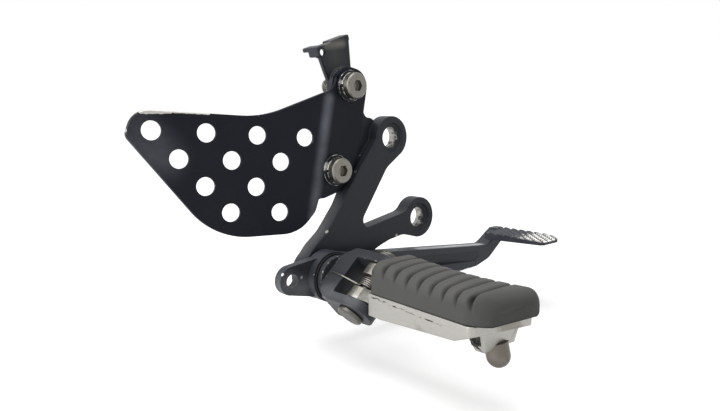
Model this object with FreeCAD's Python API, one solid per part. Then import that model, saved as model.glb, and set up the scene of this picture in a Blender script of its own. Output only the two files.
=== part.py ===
"""Right-hand rider footrest assembly: bracket, heel guard, brake pedal and folding peg.

Millimetres. X runs forward, Y runs inboard towards the frame, Z runs up.
The origin is on the upper frame bolt's axis, on the bracket's seat face.
"""
import FreeCAD, Part
import math
import os
from FreeCAD import Placement, Rotation, Vector

# Bracket casting
PLATE_T = 8.5                     # thickness of the Y-shaped plate
EYE_R = 11.2                      # outside radius of a frame-bolt eye
EYE_BORE = 11.0                   # clearance for an M10 frame bolt
EYE_SINK_D = 15.0                 # spot face round the bolt hole
EYE_SINK_DEPTH = 1.4
LOWER_EYE = (22.0, -45.1)         # lower frame bolt, from the upper one
PIVOT = (-48.5, -65.4)            # common axis of pedal hub and peg holder
PIVOT_END_R = 12.6                # round lower end of the plate
CROTCH_R = 4.0                    # inside corner between the two arms
WING_IN = 2.5                     # inner face of the wing, inboard of the seat
BOSS_R = 9.6                      # screw bosses on the wing
TAB_T = 2.5                       # web of the hook tab
TAB_HOLE_D = 3.2                  # hook hole in the tab
TAB_HOLE = (-39.6, 42.3)
TAB_LUG_REACH = 12.0              # hook lug at the tab's rear end
TAB_LUG_T = 2.2

# Heel guard, 2 mm sheet
GUARD_T = 2.0
GUARD_RECESS = 4.0                # guard's outer face lies this far behind the plate's
GUARD_LEAN = 12.5                 # bend line leans forward at the top, degrees
GUARD_BEND = 13.6                 # panel turns inboard by this angle, degrees
GUARD_BEND_R = 25.0               # outer bend radius
GUARD_BEND_AT = (-43.5, -4.75)    # a point on the bend line, X and Z
GUARD_REACH = 92.0                # panel's rear corner from the bend line
GUARD_RISE = 43.4                 # tongue's top above the point on the bend line
GUARD_DROP = 50.1                 # panel's lower corner under that point
GUARD_EDGE_GAP = 0.4              # guard's front edge to the plate's step
WING_CLEAR = 0.1                  # wing to the inside of the bend
HOLE_D = 8.5                      # lightening holes
HOLE_PITCH = 24.0
HOLE_TILT = 8.5                   # rows climb towards the front, degrees
HOLE_CENTRE = (-43.5, -19.2)      # middle of the pattern on the flat sheet

# Heel guard fasteners, M8
SCREWS = ((-26.6, 26.3), (-36.3, -15.3))
SCREW_D = 8.0
SCREW_LEN = 20.0
SCREW_HEAD_D = 13.0
SCREW_HEAD_H = 4.0
SCREW_HEX = 5.0
SCREW_CLEAR = 0.25                # radial clearance of the screws in wing and guard
WASHER_D = 15.6
WASHER_T = 1.2
LOCK_D = 13.4
LOCK_T = 1.4
LOCK_GAP = 1.2

# Pedal on the peg holder's spigot
SPIGOT_D = 14.0
PIVOT_CLEAR = 0.05                # radial running clearance, bush on spigot
BUSH_WALL = 1.5
HUB_R = 12.4
HUB_W = 8.2
SEAL_R = 11.8
INNER_SEAL_T = 0.7
OUTER_SEAL_T = 1.1
SIDE_GAP = 0.3                    # hub to seals, each side
EAR = (-70.4, -64.3)              # push-rod eye behind the hub
EAR_R = 6.9
EAR_BORE = 6.4
EAR_T = 4.7
ARM_W = 9.4                       # width of the pedal arm along Y
ARM_POCKET_DEPTH = 2.6
POCKET_FULL_X = 34.0               # the pocket is full depth up to here
POCKET_END_X = 63.0                # and has run out here
PAD_X = (70.0, 92.5)              # toe pad, rear and front edges
PAD_END_Y = -57.8
PAD_TOP_Z = -58.4
RAMP_BACK = 8.0                   # the arm's ramp meets the pad this far behind its front edge
PAD_NOSE = 2.0                    # the arm ends this far behind the pad's front edge
PAD_T = 4.4                       # at the arm
PAD_END_T = 2.2                   # at the outer end
KNURL_PITCH = 3.5
KNURL_DEPTH = 0.9

# Peg holder
FLANGE_R = 11.2
FLANGE_T = 3.0
KEY_FLAT = 11.0                   # across the flats of the spigot's end
KEY_DEPTH = 4.5
KEY_CLEAR = 0.1
BOLT_D = 8.0
BOLT_CLEAR = 0.25
BOLT_LEN = 18.0
BOLT_HEX = 13.0
BOLT_HEAD_H = 5.3
BOLT_WASHER_D = 17.0
BOLT_WASHER_T = 1.6

# Hinge, tilted so that the peg folds up and back
HINGE_TILT = 42.0                 # front end of the pin is the higher one, degrees
PIN_Y = -43.0
PIN_D = 8.0
PIN_CLEAR = 0.08                  # radial clearance in ears and knuckles
EAR_OUT = 14.8                    # clevis half width
SLOT_HALF = 10.0                  # half width of the clevis slot
SLOT_FLOOR = 11.0                 # slot floor, inboard of the pin
CLEVIS_R = 7.4                    # rounded ends of the ears
CLEVIS_NOSE = 4.2                 # the ears run this far past the pin before they round off
KNUCKLE_R = 6.4
KNUCKLE_SIDE_GAP = 0.3
EAR_SWEEP_GAP = 0.35              # ends of the ears to the peg as it folds
KNUCKLE_W = 6.2
PIN_HEAD_D = 12.6
PIN_HEAD_T = 2.2
PIN_WASHER_D = 14.0
PIN_WASHER_T = 1.0
CLIP_D = 13.0
CLIP_T = 1.0
GROOVE_D = 6.4
PIN_END = 1.8
SPRING_WIRE = 1.4
SPRING_COILS = 4
SPRING_BORE_CLEAR = 0.4

# Folding peg
TRAY_TOP_Z = -63.0
TRAY_IN_Y = -55.0
TRAY_HALF_IN = 12.0               # half width at the hinge end
TRAY_HALF_OUT = 15.4              # half width at the outer end
TRAY_OUT_Y = -117.0               # outer end on the centre line
TRAY_SKEW = 7.6                   # front corner lies this much further out
TRAY_DEPTH_IN = 10.0
TRAY_DEPTH_MID = 7.2
TRAY_DEPTH_END = 3.4
TRAY_RIM = 2.2
TRAY_CORNER_R = 3.0
TRAY_RECESS = 2.4
POST_R = 6.0                      # screw posts in the tray's hollow underside
FEELER_BOSS = (-53.0, -33.5)      # lower end of the boss, rear and front
FEELER_BOSS_Y = (-111.4, -107.0)
FEELER_BOSS_FLARE = (2.4, 2.6)    # the boss widens upwards by this much on each side, X and Y
FEELER_BOSS_Z = -76.0
BOSS_POCKET = 2.2                 # depth of the pocket in the boss's rear side
BOSS_LIP = 2.6                    # rim left under that pocket
FEELER_D = 9.6
FEELER_OFF = 0.9                  # forward of the boss's middle
FEELER_SINK = 1.3                 # spot face that the stud sits in
FEELER_LEAN = 15.0
FEELER_REACH = 8.6                # from the boss to the end of the nose
FEELER_SHANK_D = 6.0
FEELER_SHANK_L = 7.0

# Rubber cover
RUBBER_IN_Y = -56.0
RUBBER_END = ((-33.4, -125.4), (-45.5, -124.8), (-63.6, -114.2))  # front corner, bulge, rear corner
RUBBER_TOP_Z = -48.0              # crown at the hinge end
RUBBER_FALL = 2.6                 # crown falls outwards, degrees
RUBBER_LIFT = 2.6                 # the end's front corner stands clear of the tray by this much
RUBBER_EDGE_R = 6.8
RUBBER_CORNER_R = 8.2
RUBBER_BULGE_R = 10.0
RIB_COUNT = 9
RIB_FIRST_Y = -60.6
RIB_PITCH = 6.0
RIB_ARC_R = 17.0
RIB_GROOVE_W = 1.5
RIB_CORE_R = 13.9
RIB_DEPTH = 2.3
SEAT_GAP = 0.05
PLATE_INSERT_T = 2.0
PLATE_INSERT_EDGE = 0.6
RUBBER_SCREW_Y = (-68.0, -92.0)
RUBBER_SCREW_D = 5.0
RUBBER_SCREW_HEAD_D = 9.0
RUBBER_SCREW_HEAD_H = 2.6
RUBBER_SCREW_CLEAR = 0.25

# Positions that follow from the sizes above
PLATE_OUT = -PLATE_T
GUARD_OUT = PLATE_OUT + GUARD_RECESS
GUARD_IN = GUARD_OUT + GUARD_T
HUB_IN = PLATE_OUT - INNER_SEAL_T - SIDE_GAP
HUB_OUT = HUB_IN - HUB_W
FLANGE_IN = HUB_OUT - SIDE_GAP - OUTER_SEAL_T
FLANGE_OUT = FLANGE_IN - FLANGE_T
ARM_IN = HUB_IN
ARM_OUT = ARM_IN - ARM_W
RAMP_TOP_X = PAD_X[1] - RAMP_BACK
ARM_TIP_X = PAD_X[1] - PAD_NOSE
UP_Y = Vector(0, 1, 0)


def outline(points):
    """Closed wire in the XZ plane from (x, z, corner radius) points."""
    n = len(points)
    cut = []
    for i in range(n):
        x, z, r = points[i]
        p = Vector(x, 0, z)
        before = Vector(points[i - 1][0], 0, points[i - 1][1])
        after = Vector(points[(i + 1) % n][0], 0, points[(i + 1) % n][1])
        if r <= 0:
            cut.append((p, p, p))
            continue
        a = (before - p).normalize()
        b = (after - p).normalize()
        half = math.acos(max(-1.0, min(1.0, a.dot(b)))) / 2
        run = r / math.tan(half)
        mid = (a + b).normalize()
        nearest = p + mid * (r / math.sin(half) - r)
        cut.append((p + a * run, nearest, p + b * run))
    edges = []
    for i in range(n):
        start, nearest, end = cut[i]
        if (start - end).Length > 1e-6:
            edges.append(Part.Arc(start, nearest, end).toShape())
        following = cut[(i + 1) % n][0]
        if (following - end).Length > 1e-6:
            edges.append(Part.makeLine(end, following))
    return Part.Wire(edges)


def prism(points, y0, y1):
    """Outline in XZ swept from y0 to y1."""
    face = Part.Face(outline(points))
    face.translate(Vector(0, y0, 0))
    return face.extrude(Vector(0, y1 - y0, 0))


def plan(points, z0, z1):
    """Outline given as (x, y, corner radius), swept from z0 to z1."""
    face = Part.Face(outline([(x, -y, r) for x, y, r in points]))
    face.rotate(Vector(0, 0, 0), Vector(1, 0, 0), 90)
    face.translate(Vector(0, 0, z0))
    return face.extrude(Vector(0, 0, z1 - z0))


def rod(x, z, r, y0, y1):
    """Cylinder along Y."""
    low = min(y0, y1)
    return Part.makeCylinder(r, abs(y1 - y0), Vector(x, low, z), UP_Y)


def box(x0, x1, y0, y1, z0, z1):
    """Block between three pairs of limits."""
    corner = Vector(min(x0, x1), min(y0, y1), min(z0, z1))
    return Part.makeBox(abs(x1 - x0), abs(y1 - y0), abs(z1 - z0), corner)


def hexagon(x, z, across, y0, y1):
    """Hexagonal bar along Y."""
    r = across / math.sqrt(3)
    corners = [(x + r * math.cos(math.radians(60 * k)), z + r * math.sin(math.radians(60 * k)), 0)
               for k in range(6)]
    return prism(corners, min(y0, y1), max(y0, y1))


def join(*shapes):
    """One solid from overlapping ones."""
    result = shapes[0].multiFuse(list(shapes[1:])) if len(shapes) > 1 else shapes[0]
    return result.removeSplitter()


def hinge_frame(shape):
    """Move from the pin's own frame (x along the pin, z square to it) to the part's frame."""
    shape.Placement = Placement(Vector(PIVOT[0], PIN_Y, PIVOT[1]), Rotation(UP_Y, -HINGE_TILT))
    return shape


def bar_x(r, x0, x1, y=0.0, z=0.0):
    """Cylinder along X in the pin's own frame."""
    return Part.makeCylinder(r, abs(x1 - x0), Vector(min(x0, x1), y, z), Vector(1, 0, 0))


def bevel_near(shape, r, picks):
    """Bevel the edges whose middle lies nearest to each given point."""
    edges = []
    for pick in picks:
        target = Vector(*pick)
        edges.append(min(shape.Edges, key=lambda e: (e.CenterOfMass - target).Length))
    return shape.makeChamfer(r, edges)


def plate_points():
    """Outline of the Y-shaped plate without the rounds of its eyes."""
    px, pz = PIVOT
    lx, lz = LOWER_EYE
    return [(-4, 8.4, 0), (-31.4, -26, 14), (-35.2, -33, 12), (-45, -45.3, 18), (-53, -51.6, 14),
            (px - 11.2, pz + 5.8, 0), (px + 6.3, pz - 10.9, 0), (-10.8, -58, 30), (-1.6, -55, 16),
            (9.4, -53.3, 10), (lx - 2.2, lz - 10.9, 0), (lx + 4, lz, 0), (lx - 4.6, lz + 10.2, 0),
            (10.6, -40.9, 9), (-25, -47.7, CROTCH_R), (-3.6, -15.9, 10), (5.8, -9.5, 0), (3, 5, 0)]


def main_bracket():
    """Y-shaped casting with wing, bosses and hook tab."""
    px, pz = PIVOT
    lx, lz = LOWER_EYE
    arms = prism(plate_points(), PLATE_OUT, 0)
    eyes = [rod(0, 0, EYE_R, PLATE_OUT, 0), rod(lx, lz, EYE_R, PLATE_OUT, 0)]
    end = rod(px, pz, PIVOT_END_R, PLATE_OUT, 0)
    upper, lower = SCREWS
    wing = prism([(upper[0] - 8.9, upper[1] - 3.4, 0), (lower[0] - 8.9, lower[1] + 3.6, 0),
                  (lower[0] - 2, lower[1] - 9.3, 0), (-33, -26.6, 5), (-24, -24, 0), (-12.4, -6.6, 0),
                  (-4.5, 10.4, 4), (-13.6, 10.4, 4), (upper[0] + 9.9, 18, 6),
                  (upper[0] + 9.5, upper[1] + 1, 0)], GUARD_IN, 0)
    back = prism([(upper[0] - 8.9, upper[1] - 3.4, 0), (lower[0] - 8.9, lower[1] + 3.6, 0),
                  (lower[0] - 2, lower[1] - 9.3, 0), (-29, -24, 4), (-17.6, -8, 4), (-14.6, 6, 4),
                  (upper[0] + 9.5, upper[1] + 1, 0)], 0, WING_IN)
    bosses = [rod(x, z, BOSS_R, GUARD_IN, WING_IN) for x, z in SCREWS]
    tab = prism([(-43.7, 44.4, 1.5), (-23.0, 51.6, 1.5), (-21.2, 34.0, 0), (-30, 24, 0), (-36.4, 28.4, 0)],
                WING_IN - TAB_T, WING_IN)
    edge = (20.7, 7.2)
    length = math.hypot(*edge)
    slope = math.degrees(math.atan2(edge[1], edge[0]))
    lugs = join(box(0, length, WING_IN - TAB_T, WING_IN + 2.6, -TAB_LUG_T, 0),
                box(0, 5.4, WING_IN - TAB_T, TAB_LUG_REACH, -TAB_LUG_T, 0),
                box(0, 1.4, WING_IN - TAB_T, 8.0, -5.0, 0),
                box(9.4, length, WING_IN - TAB_T, 7.0, -TAB_LUG_T, 0.6))
    lugs.Placement = Placement(Vector(-43.7, 0, 44.4), Rotation(UP_Y, -slope))
    behind_bend = box(-40, GUARD_BEND_R * math.tan(math.radians(GUARD_BEND) / 2), -5, 20, -70, 70)
    behind_bend.Placement = guard_place()
    wing_side = join(wing, back, *bosses).cut(bent_sheet(GUARD_T + WING_CLEAR).common(behind_bend))
    body = join(arms, *eyes, end, wing_side, tab, lugs)
    cuts = []
    for x, z in ((0, 0), LOWER_EYE):
        cuts.append(rod(x, z, EYE_BORE / 2, PLATE_OUT - 1, 1))
        cuts.append(rod(x, z, EYE_SINK_D / 2, PLATE_OUT - 1, PLATE_OUT + EYE_SINK_DEPTH))
    for x, z in SCREWS:
        cuts.append(rod(x, z, SCREW_D / 2 + SCREW_CLEAR, GUARD_IN - 1, WING_IN + 1))
    cuts.append(rod(TAB_HOLE[0], TAB_HOLE[1], TAB_HOLE_D / 2, -2, WING_IN + 1))
    key = rod(px, pz, SPIGOT_D / 2 + KEY_CLEAR, PLATE_OUT - 1, PLATE_OUT + KEY_DEPTH + KEY_CLEAR)
    half = KEY_FLAT / 2 + KEY_CLEAR
    key = key.common(box(px - half, px + half, -30, 30, pz - 20, pz + 20))
    cuts.append(key)
    cuts.append(rod(px, pz, BOLT_D / 2 + BOLT_CLEAR, PLATE_OUT, 1))
    return body.cut(Part.makeCompound(cuts)).removeSplitter()


def guard_place():
    """Place of the guard's own frame: its bend line runs up Z, its flat flange along +X."""
    return Placement(Vector(GUARD_BEND_AT[0], GUARD_OUT, GUARD_BEND_AT[1]), Rotation(UP_Y, GUARD_LEAN))


def bent_sheet(thickness):
    """Sheet without outline or holes, bent along its leaning line."""
    bend = math.radians(GUARD_BEND)
    run = GUARD_BEND_R * math.tan(bend / 2)
    r_in = GUARD_BEND_R - thickness

    def arc(r, angle):
        return Vector(run - r * math.sin(angle), GUARD_BEND_R - r * math.cos(angle), 0)

    away = Vector(-math.cos(bend), math.sin(bend), 0) * (GUARD_REACH + 18)
    p = [Vector(40, 0, 0), arc(GUARD_BEND_R, 0), arc(GUARD_BEND_R, bend), arc(GUARD_BEND_R, bend) + away,
         arc(r_in, bend) + away, arc(r_in, bend), arc(r_in, 0), Vector(40, thickness, 0)]
    edges = [Part.makeLine(p[0], p[1]), Part.Arc(p[1], arc(GUARD_BEND_R, bend / 2), p[2]).toShape(),
             Part.makeLine(p[2], p[3]), Part.makeLine(p[3], p[4]), Part.makeLine(p[4], p[5]),
             Part.Arc(p[5], arc(r_in, bend / 2), p[6]).toShape(), Part.makeLine(p[6], p[7]),
             Part.makeLine(p[7], p[0])]
    sheet = Part.Face(Part.Wire(edges))
    sheet.translate(Vector(0, 0, -GUARD_DROP - 30))
    sheet = sheet.extrude(Vector(0, 0, GUARD_DROP + GUARD_RISE + 60))
    sheet.Placement = guard_place()
    return sheet


def heel_guard():
    """Sheet bent along a leaning line, with two screw holes and the pattern of lightening holes."""
    bend = math.radians(GUARD_BEND)
    k = math.cos(bend)
    rear = GUARD_REACH * k
    middle = GUARD_REACH * k / 2
    shape = prism([(0.4, GUARD_RISE, 9), (21.4, GUARD_RISE, 9), (23.6, -14.2, 2), (6.0, -23.4, 2.5),
                   (2.4, -24.2, 1.5), (1.6, -30.6, 5), (-5.7 * k, 7.8 - GUARD_DROP, 17),
                   (-middle, -GUARD_DROP, 33), (-rear, -11.2, 4), (1.4 - rear, 0.7, 9),
                   (12.6 - middle, 9.4, 48), (0.8, GUARD_RISE - 12.8, 6)], -5, 40)
    shape.Placement = guard_place()
    step = Part.Face(outline(plate_points())).makeOffset2D(GUARD_EDGE_GAP)
    step.translate(Vector(0, PLATE_OUT, 0))
    guard = bent_sheet(GUARD_T).common(shape).cut(step.extrude(Vector(0, PLATE_T, 0)))
    holes = [rod(x, z, SCREW_D / 2 + SCREW_CLEAR, GUARD_OUT - 5, GUARD_OUT + 5) for x, z in SCREWS]
    rows = (((-1.5, -0.5, 0.5, 1.5), 0.75), ((-1.0, 0.0, 1.0), 0.25),
            ((-0.5, 0.5), -0.25), ((0.0, 1.0), -0.75))
    tilt = math.radians(HOLE_TILT)
    panel = []
    for places, row in rows:
        for place in places:
            u, w = place * HOLE_PITCH, row * HOLE_PITCH
            f = HOLE_CENTRE[0] + u * math.cos(tilt) - w * math.sin(tilt)
            b = HOLE_CENTRE[1] + u * math.sin(tilt) + w * math.cos(tilt)
            panel.append(rod(f, b, HOLE_D / 2, -6, 8))
    panel = Part.makeCompound(panel)
    panel.rotate(Vector(0, 0, 0), Vector(0, 0, 1), -GUARD_BEND)
    panel.Placement = guard_place().multiply(panel.Placement)
    return guard.cut(Part.makeCompound(holes + [panel]))


def screw_stack():
    """Screws, lock washers and flat washers of the heel guard."""
    screws, locks, washers = [], [], []
    for x, z in SCREWS:
        y = GUARD_OUT
        washer = rod(x, z, WASHER_D / 2, y - WASHER_T, y)
        washers.append(washer.cut(rod(x, z, SCREW_D / 2 + SCREW_CLEAR, y - 9, y + 9)))
        y -= WASHER_T
        lock = rod(x, z, LOCK_D / 2, y - LOCK_T, y).cut(rod(x, z, SCREW_D / 2 + SCREW_CLEAR, y - 9, y + 9))
        locks.append(lock.cut(box(x - 9, x, y - 9, y + 9, z - LOCK_GAP / 2, z + LOCK_GAP / 2)))
        y -= LOCK_T
        head = rod(x, z, SCREW_HEAD_D / 2, y - SCREW_HEAD_H, y)
        head = bevel_near(head, 0.9, [(x, y - SCREW_HEAD_H, z)])
        screw = join(head, rod(x, z, SCREW_D / 2, y - 0.5, y + SCREW_LEN))
        socket = hexagon(x, z, SCREW_HEX, y - SCREW_HEAD_H - 1, y - SCREW_HEAD_H + 2.6)
        screws.append(screw.cut(socket))
    return Part.makeCompound(screws), Part.makeCompound(locks), Part.makeCompound(washers)


def brake_pedal():
    """Hub with push-rod ear, deep arm and a knurled toe pad."""
    px, pz = PIVOT
    hub = rod(px, pz, HUB_R, HUB_OUT, HUB_IN)
    ear = rod(EAR[0], EAR[1], EAR_R, HUB_IN - EAR_T, HUB_IN)
    neck = prism([(px - 2, pz + 10.5, 0), (EAR[0] - 1, EAR[1] + EAR_R - 0.1, 0),
                  (EAR[0] - 1, EAR[1] - EAR_R + 0.1, 0), (px - 2, pz - 10.5, 0)], HUB_IN - EAR_T, HUB_IN)
    arm = prism([(px, pz + HUB_R - 0.1, 0), (px + 14, pz + 9.2, 30), (25.7, -62.0, 0), (54, -64.8, 30),
                 (RAMP_TOP_X - 13, -66.4, 8), (RAMP_TOP_X, PAD_TOP_Z - 0.2, 9),
                 (ARM_TIP_X, PAD_TOP_Z - 0.2, 0), (ARM_TIP_X, PAD_TOP_Z - PAD_T + 0.4, 0),
                 (ARM_TIP_X - 5.9, PAD_TOP_Z - 7.6, 6),
                 (ARM_TIP_X - 17.5, -74.6, 14), (58, -78.6, 24),
                 (40, -78.8, 0), (px, pz - HUB_R + 0.1, 0)], ARM_OUT, ARM_IN)
    over_hub = rod(px, pz, SEAL_R + 0.9, ARM_OUT - 1, HUB_OUT)
    arm = arm.cut(over_hub)
    floor = ARM_OUT + ARM_POCKET_DEPTH
    pocket = prism([(-28, -60.8, 2), (64.5, -69.0, 2), (60, -74.4, 3), (-28, -67.8, 2)], ARM_OUT - 1, floor)
    run_out = plan([(-40, ARM_OUT - 1, 0), (-40, floor, 0), (POCKET_FULL_X, floor, 0),
                    (POCKET_END_X, ARM_OUT, 0), (POCKET_END_X, ARM_OUT - 1, 0)], -90, -40)
    pocket = pocket.common(run_out)
    pad = plan([(PAD_X[0], ARM_IN, 2), (PAD_X[1], ARM_IN, 3), (PAD_X[1] + 0.4, PAD_END_Y + 9, 6),
                (PAD_X[1] - 7, PAD_END_Y, 4), (PAD_X[0] - 0.5, PAD_END_Y, 2.5)], PAD_TOP_Z - PAD_T, PAD_TOP_Z)
    pad = pad.cut(box(60, RAMP_TOP_X, ARM_OUT + 1.5, ARM_IN + 1, PAD_TOP_Z - 9, PAD_TOP_Z + 1))
    taper = Part.Face(Part.makePolygon([Vector(60, ARM_OUT, PAD_TOP_Z - PAD_T),
                                        Vector(60, PAD_END_Y - 1, PAD_TOP_Z - PAD_END_T),
                                        Vector(60, PAD_END_Y - 1, PAD_TOP_Z - PAD_T - 3),
                                        Vector(60, ARM_OUT, PAD_TOP_Z - PAD_T - 3),
                                        Vector(60, ARM_OUT, PAD_TOP_Z - PAD_T)]))
    pad = pad.cut(taper.extrude(Vector(50, 0, 0)))
    body = join(hub, ear, neck, arm.cut(pocket), pad)
    grooves = []
    side = KNURL_DEPTH
    length = 80.0
    for direction in (40.0, -40.0):
        for k in range(-9, 10):
            wedge = Part.makePolygon([Vector(-length, -side, 0.01), Vector(-length, side, 0.01),
                                      Vector(-length, 0, -KNURL_DEPTH), Vector(-length, -side, 0.01)])
            groove = Part.Face(wedge).extrude(Vector(2 * length, 0, 0))
            groove.translate(Vector(0, k * KNURL_PITCH, 0))
            groove.rotate(Vector(0, 0, 0), Vector(0, 0, 1), 90 + direction)
            groove.translate(Vector((PAD_X[0] + PAD_X[1]) / 2, (PAD_END_Y + ARM_IN) / 2, PAD_TOP_Z))
            grooves.append(groove)
    field = box(PAD_X[0] - 6, PAD_X[1] + 6, PAD_END_Y - 5, ARM_IN - 5, PAD_TOP_Z - 3, PAD_TOP_Z + 3)
    knurl = Part.makeCompound([g.common(field) for g in grooves])
    body = body.cut(knurl)
    bores = [rod(px, pz, SPIGOT_D / 2 + PIVOT_CLEAR + BUSH_WALL, HUB_OUT - 1, HUB_IN + 1),
             rod(EAR[0], EAR[1], EAR_BORE / 2, HUB_IN - EAR_T - 1, HUB_IN + 1)]
    return body.cut(Part.makeCompound(bores)).removeSplitter()


def pivot_rings():
    """Bush and dust seals on the pedal's pivot."""
    px, pz = PIVOT
    hole = SPIGOT_D / 2 + PIVOT_CLEAR
    bush = rod(px, pz, hole + BUSH_WALL, HUB_OUT, HUB_IN).cut(rod(px, pz, hole, HUB_OUT - 1, HUB_IN + 1))
    bore = rod(px, pz, SPIGOT_D / 2, -40, 0)
    inner = rod(px, pz, SEAL_R, PLATE_OUT - INNER_SEAL_T, PLATE_OUT).cut(bore)
    outer = rod(px, pz, SEAL_R, FLANGE_IN, FLANGE_IN + OUTER_SEAL_T).cut(bore)
    return bush, inner, outer


def peg_holder():
    """Clevis with a round flange and the spigot that the pedal turns on."""
    front = FLANGE_OUT - PIN_Y
    nose = CLEVIS_NOSE
    end = -nose - CLEVIS_R
    top = plan([(-9.5, front, 0), (-EAR_OUT, front - 6, 3), (-EAR_OUT, end, 0), (EAR_OUT, end, 0),
                (EAR_OUT, front - 6, 3), (9.5, front, 0)], -CLEVIS_R, CLEVIS_R)
    ends = join(bar_x(CLEVIS_R, -20, 20, -nose), box(-20, 20, -nose, front + 1, -CLEVIS_R, CLEVIS_R))
    clevis = top.common(ends)
    slot = box(-SLOT_HALF, SLOT_HALF, -20, SLOT_FLOOR, -20, 20)
    clevis = clevis.cut(slot)
    flange = rod(0, 0, FLANGE_R, front, front + FLANGE_T)
    neck = rod(0, 0, CLEVIS_R - 0.2, SLOT_FLOOR, front)
    spigot = rod(0, 0, SPIGOT_D / 2, front, PLATE_OUT - PIN_Y)
    body = join(clevis, neck, flange, spigot)
    body = body.cut(bar_x(PIN_D / 2 + PIN_CLEAR, -30, 30))
    body = hinge_frame(body)
    px, pz = PIVOT
    half = KEY_FLAT / 2
    key = rod(px, pz, SPIGOT_D / 2, PLATE_OUT - 1, PLATE_OUT + KEY_DEPTH)
    key = key.common(box(px - half, px + half, PLATE_OUT - 1, 30, pz - 20, pz + 20))
    body = join(body, key)
    depth = BOLT_LEN - BOLT_WASHER_T + 1.5
    return body.cut(rod(px, pz, BOLT_D / 2, -depth, 10)).removeSplitter()


def holder_bolt():
    """Hexagon bolt and washer from the inner side."""
    px, pz = PIVOT
    washer = rod(px, pz, BOLT_WASHER_D / 2, 0, BOLT_WASHER_T)
    washer = washer.cut(rod(px, pz, BOLT_D / 2 + BOLT_CLEAR, -1, 9))
    head = hexagon(px, pz, BOLT_HEX, BOLT_WASHER_T, BOLT_WASHER_T + BOLT_HEAD_H)
    bolt = join(head, rod(px, pz, BOLT_D / 2 - 0.02, BOLT_WASHER_T - BOLT_LEN, BOLT_WASHER_T + 1))
    return bolt, washer


def hinge_set():
    """Pin with head, washer, clip and the torsion spring, in the pin's own frame."""
    ear = EAR_OUT
    head = bar_x(PIN_HEAD_D / 2, -ear - PIN_HEAD_T, -ear)
    head = bevel_near(head, 0.8, [(-ear - PIN_HEAD_T, 0, 0)])
    free = ear + PIN_WASHER_T + 0.1
    pin = join(head, bar_x(PIN_D / 2, -ear - 1, free + CLIP_T + PIN_END))
    ring = bar_x(PIN_D, free, free + CLIP_T + 0.1).cut(bar_x(GROOVE_D / 2, free - 1, free + 3))
    pin = pin.cut(ring)
    washer = bar_x(PIN_WASHER_D / 2, ear, ear + PIN_WASHER_T)
    washer = washer.cut(bar_x(PIN_D / 2 + PIN_CLEAR, ear - 1, ear + 3))
    clip = bar_x(CLIP_D / 2, free + 0.05, free + 0.05 + CLIP_T - 0.1)
    clip = clip.cut(bar_x(GROOVE_D / 2, free - 1, free + 3))
    clip = clip.cut(box(free - 1, free + 3, -GROOVE_D / 2 + 0.1, GROOVE_D / 2 - 0.1, -20, 0))
    r0 = PIN_D / 2 + SPRING_BORE_CLEAR
    width = SPRING_COILS * SPRING_WIRE
    ridge = [Vector(-width / 2, r0, 0)]
    for k in range(SPRING_COILS):
        x = -width / 2 + k * SPRING_WIRE
        ridge.append(Vector(x, r0 + SPRING_WIRE * 0.6, 0))
        ridge.append(Vector(x + SPRING_WIRE * 0.28, r0 + SPRING_WIRE, 0))
        ridge.append(Vector(x + SPRING_WIRE * 0.72, r0 + SPRING_WIRE, 0))
    ridge += [Vector(width / 2, r0 + SPRING_WIRE * 0.6, 0), Vector(width / 2, r0, 0), ridge[0]]
    spring = Part.Face(Part.makePolygon(ridge)).revolve(Vector(0, 0, 0), Vector(1, 0, 0), 360)
    wire = SPRING_WIRE / 2
    reach = SLOT_FLOOR - 2.4
    leg_in = Part.makeCylinder(wire * 0.8, reach, Vector(-width / 2 + 0.7, 0, r0 + wire), Vector(0, 1, 0))
    leg_out = Part.makeCylinder(wire * 0.8, 11.4, Vector(width / 2 - 0.7, 0, r0 + wire), Vector(0, -1, 0))
    spring = join(spring, leg_in, leg_out)
    return [hinge_frame(s) for s in (pin, washer, clip, spring)]


def half_width(y):
    """Half width of the tray at a place along it."""
    part = (y - TRAY_IN_Y) / (TRAY_OUT_Y - TRAY_IN_Y)
    return TRAY_HALF_IN + (TRAY_HALF_OUT - TRAY_HALF_IN) * part


def tray_plan(inset, y_in, over, corner):
    """Plan of the peg: widening outwards, with a skewed outer end."""
    px = PIVOT[0]
    out = TRAY_OUT_Y - over
    a = half_width(y_in) - inset
    b = half_width(TRAY_OUT_Y) - inset
    return [(px - a, y_in, 0.8), (px + a, y_in, 0.8), (px + b, out - TRAY_SKEW / 2, corner),
            (px - b, out + TRAY_SKEW / 2, corner)]


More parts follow.
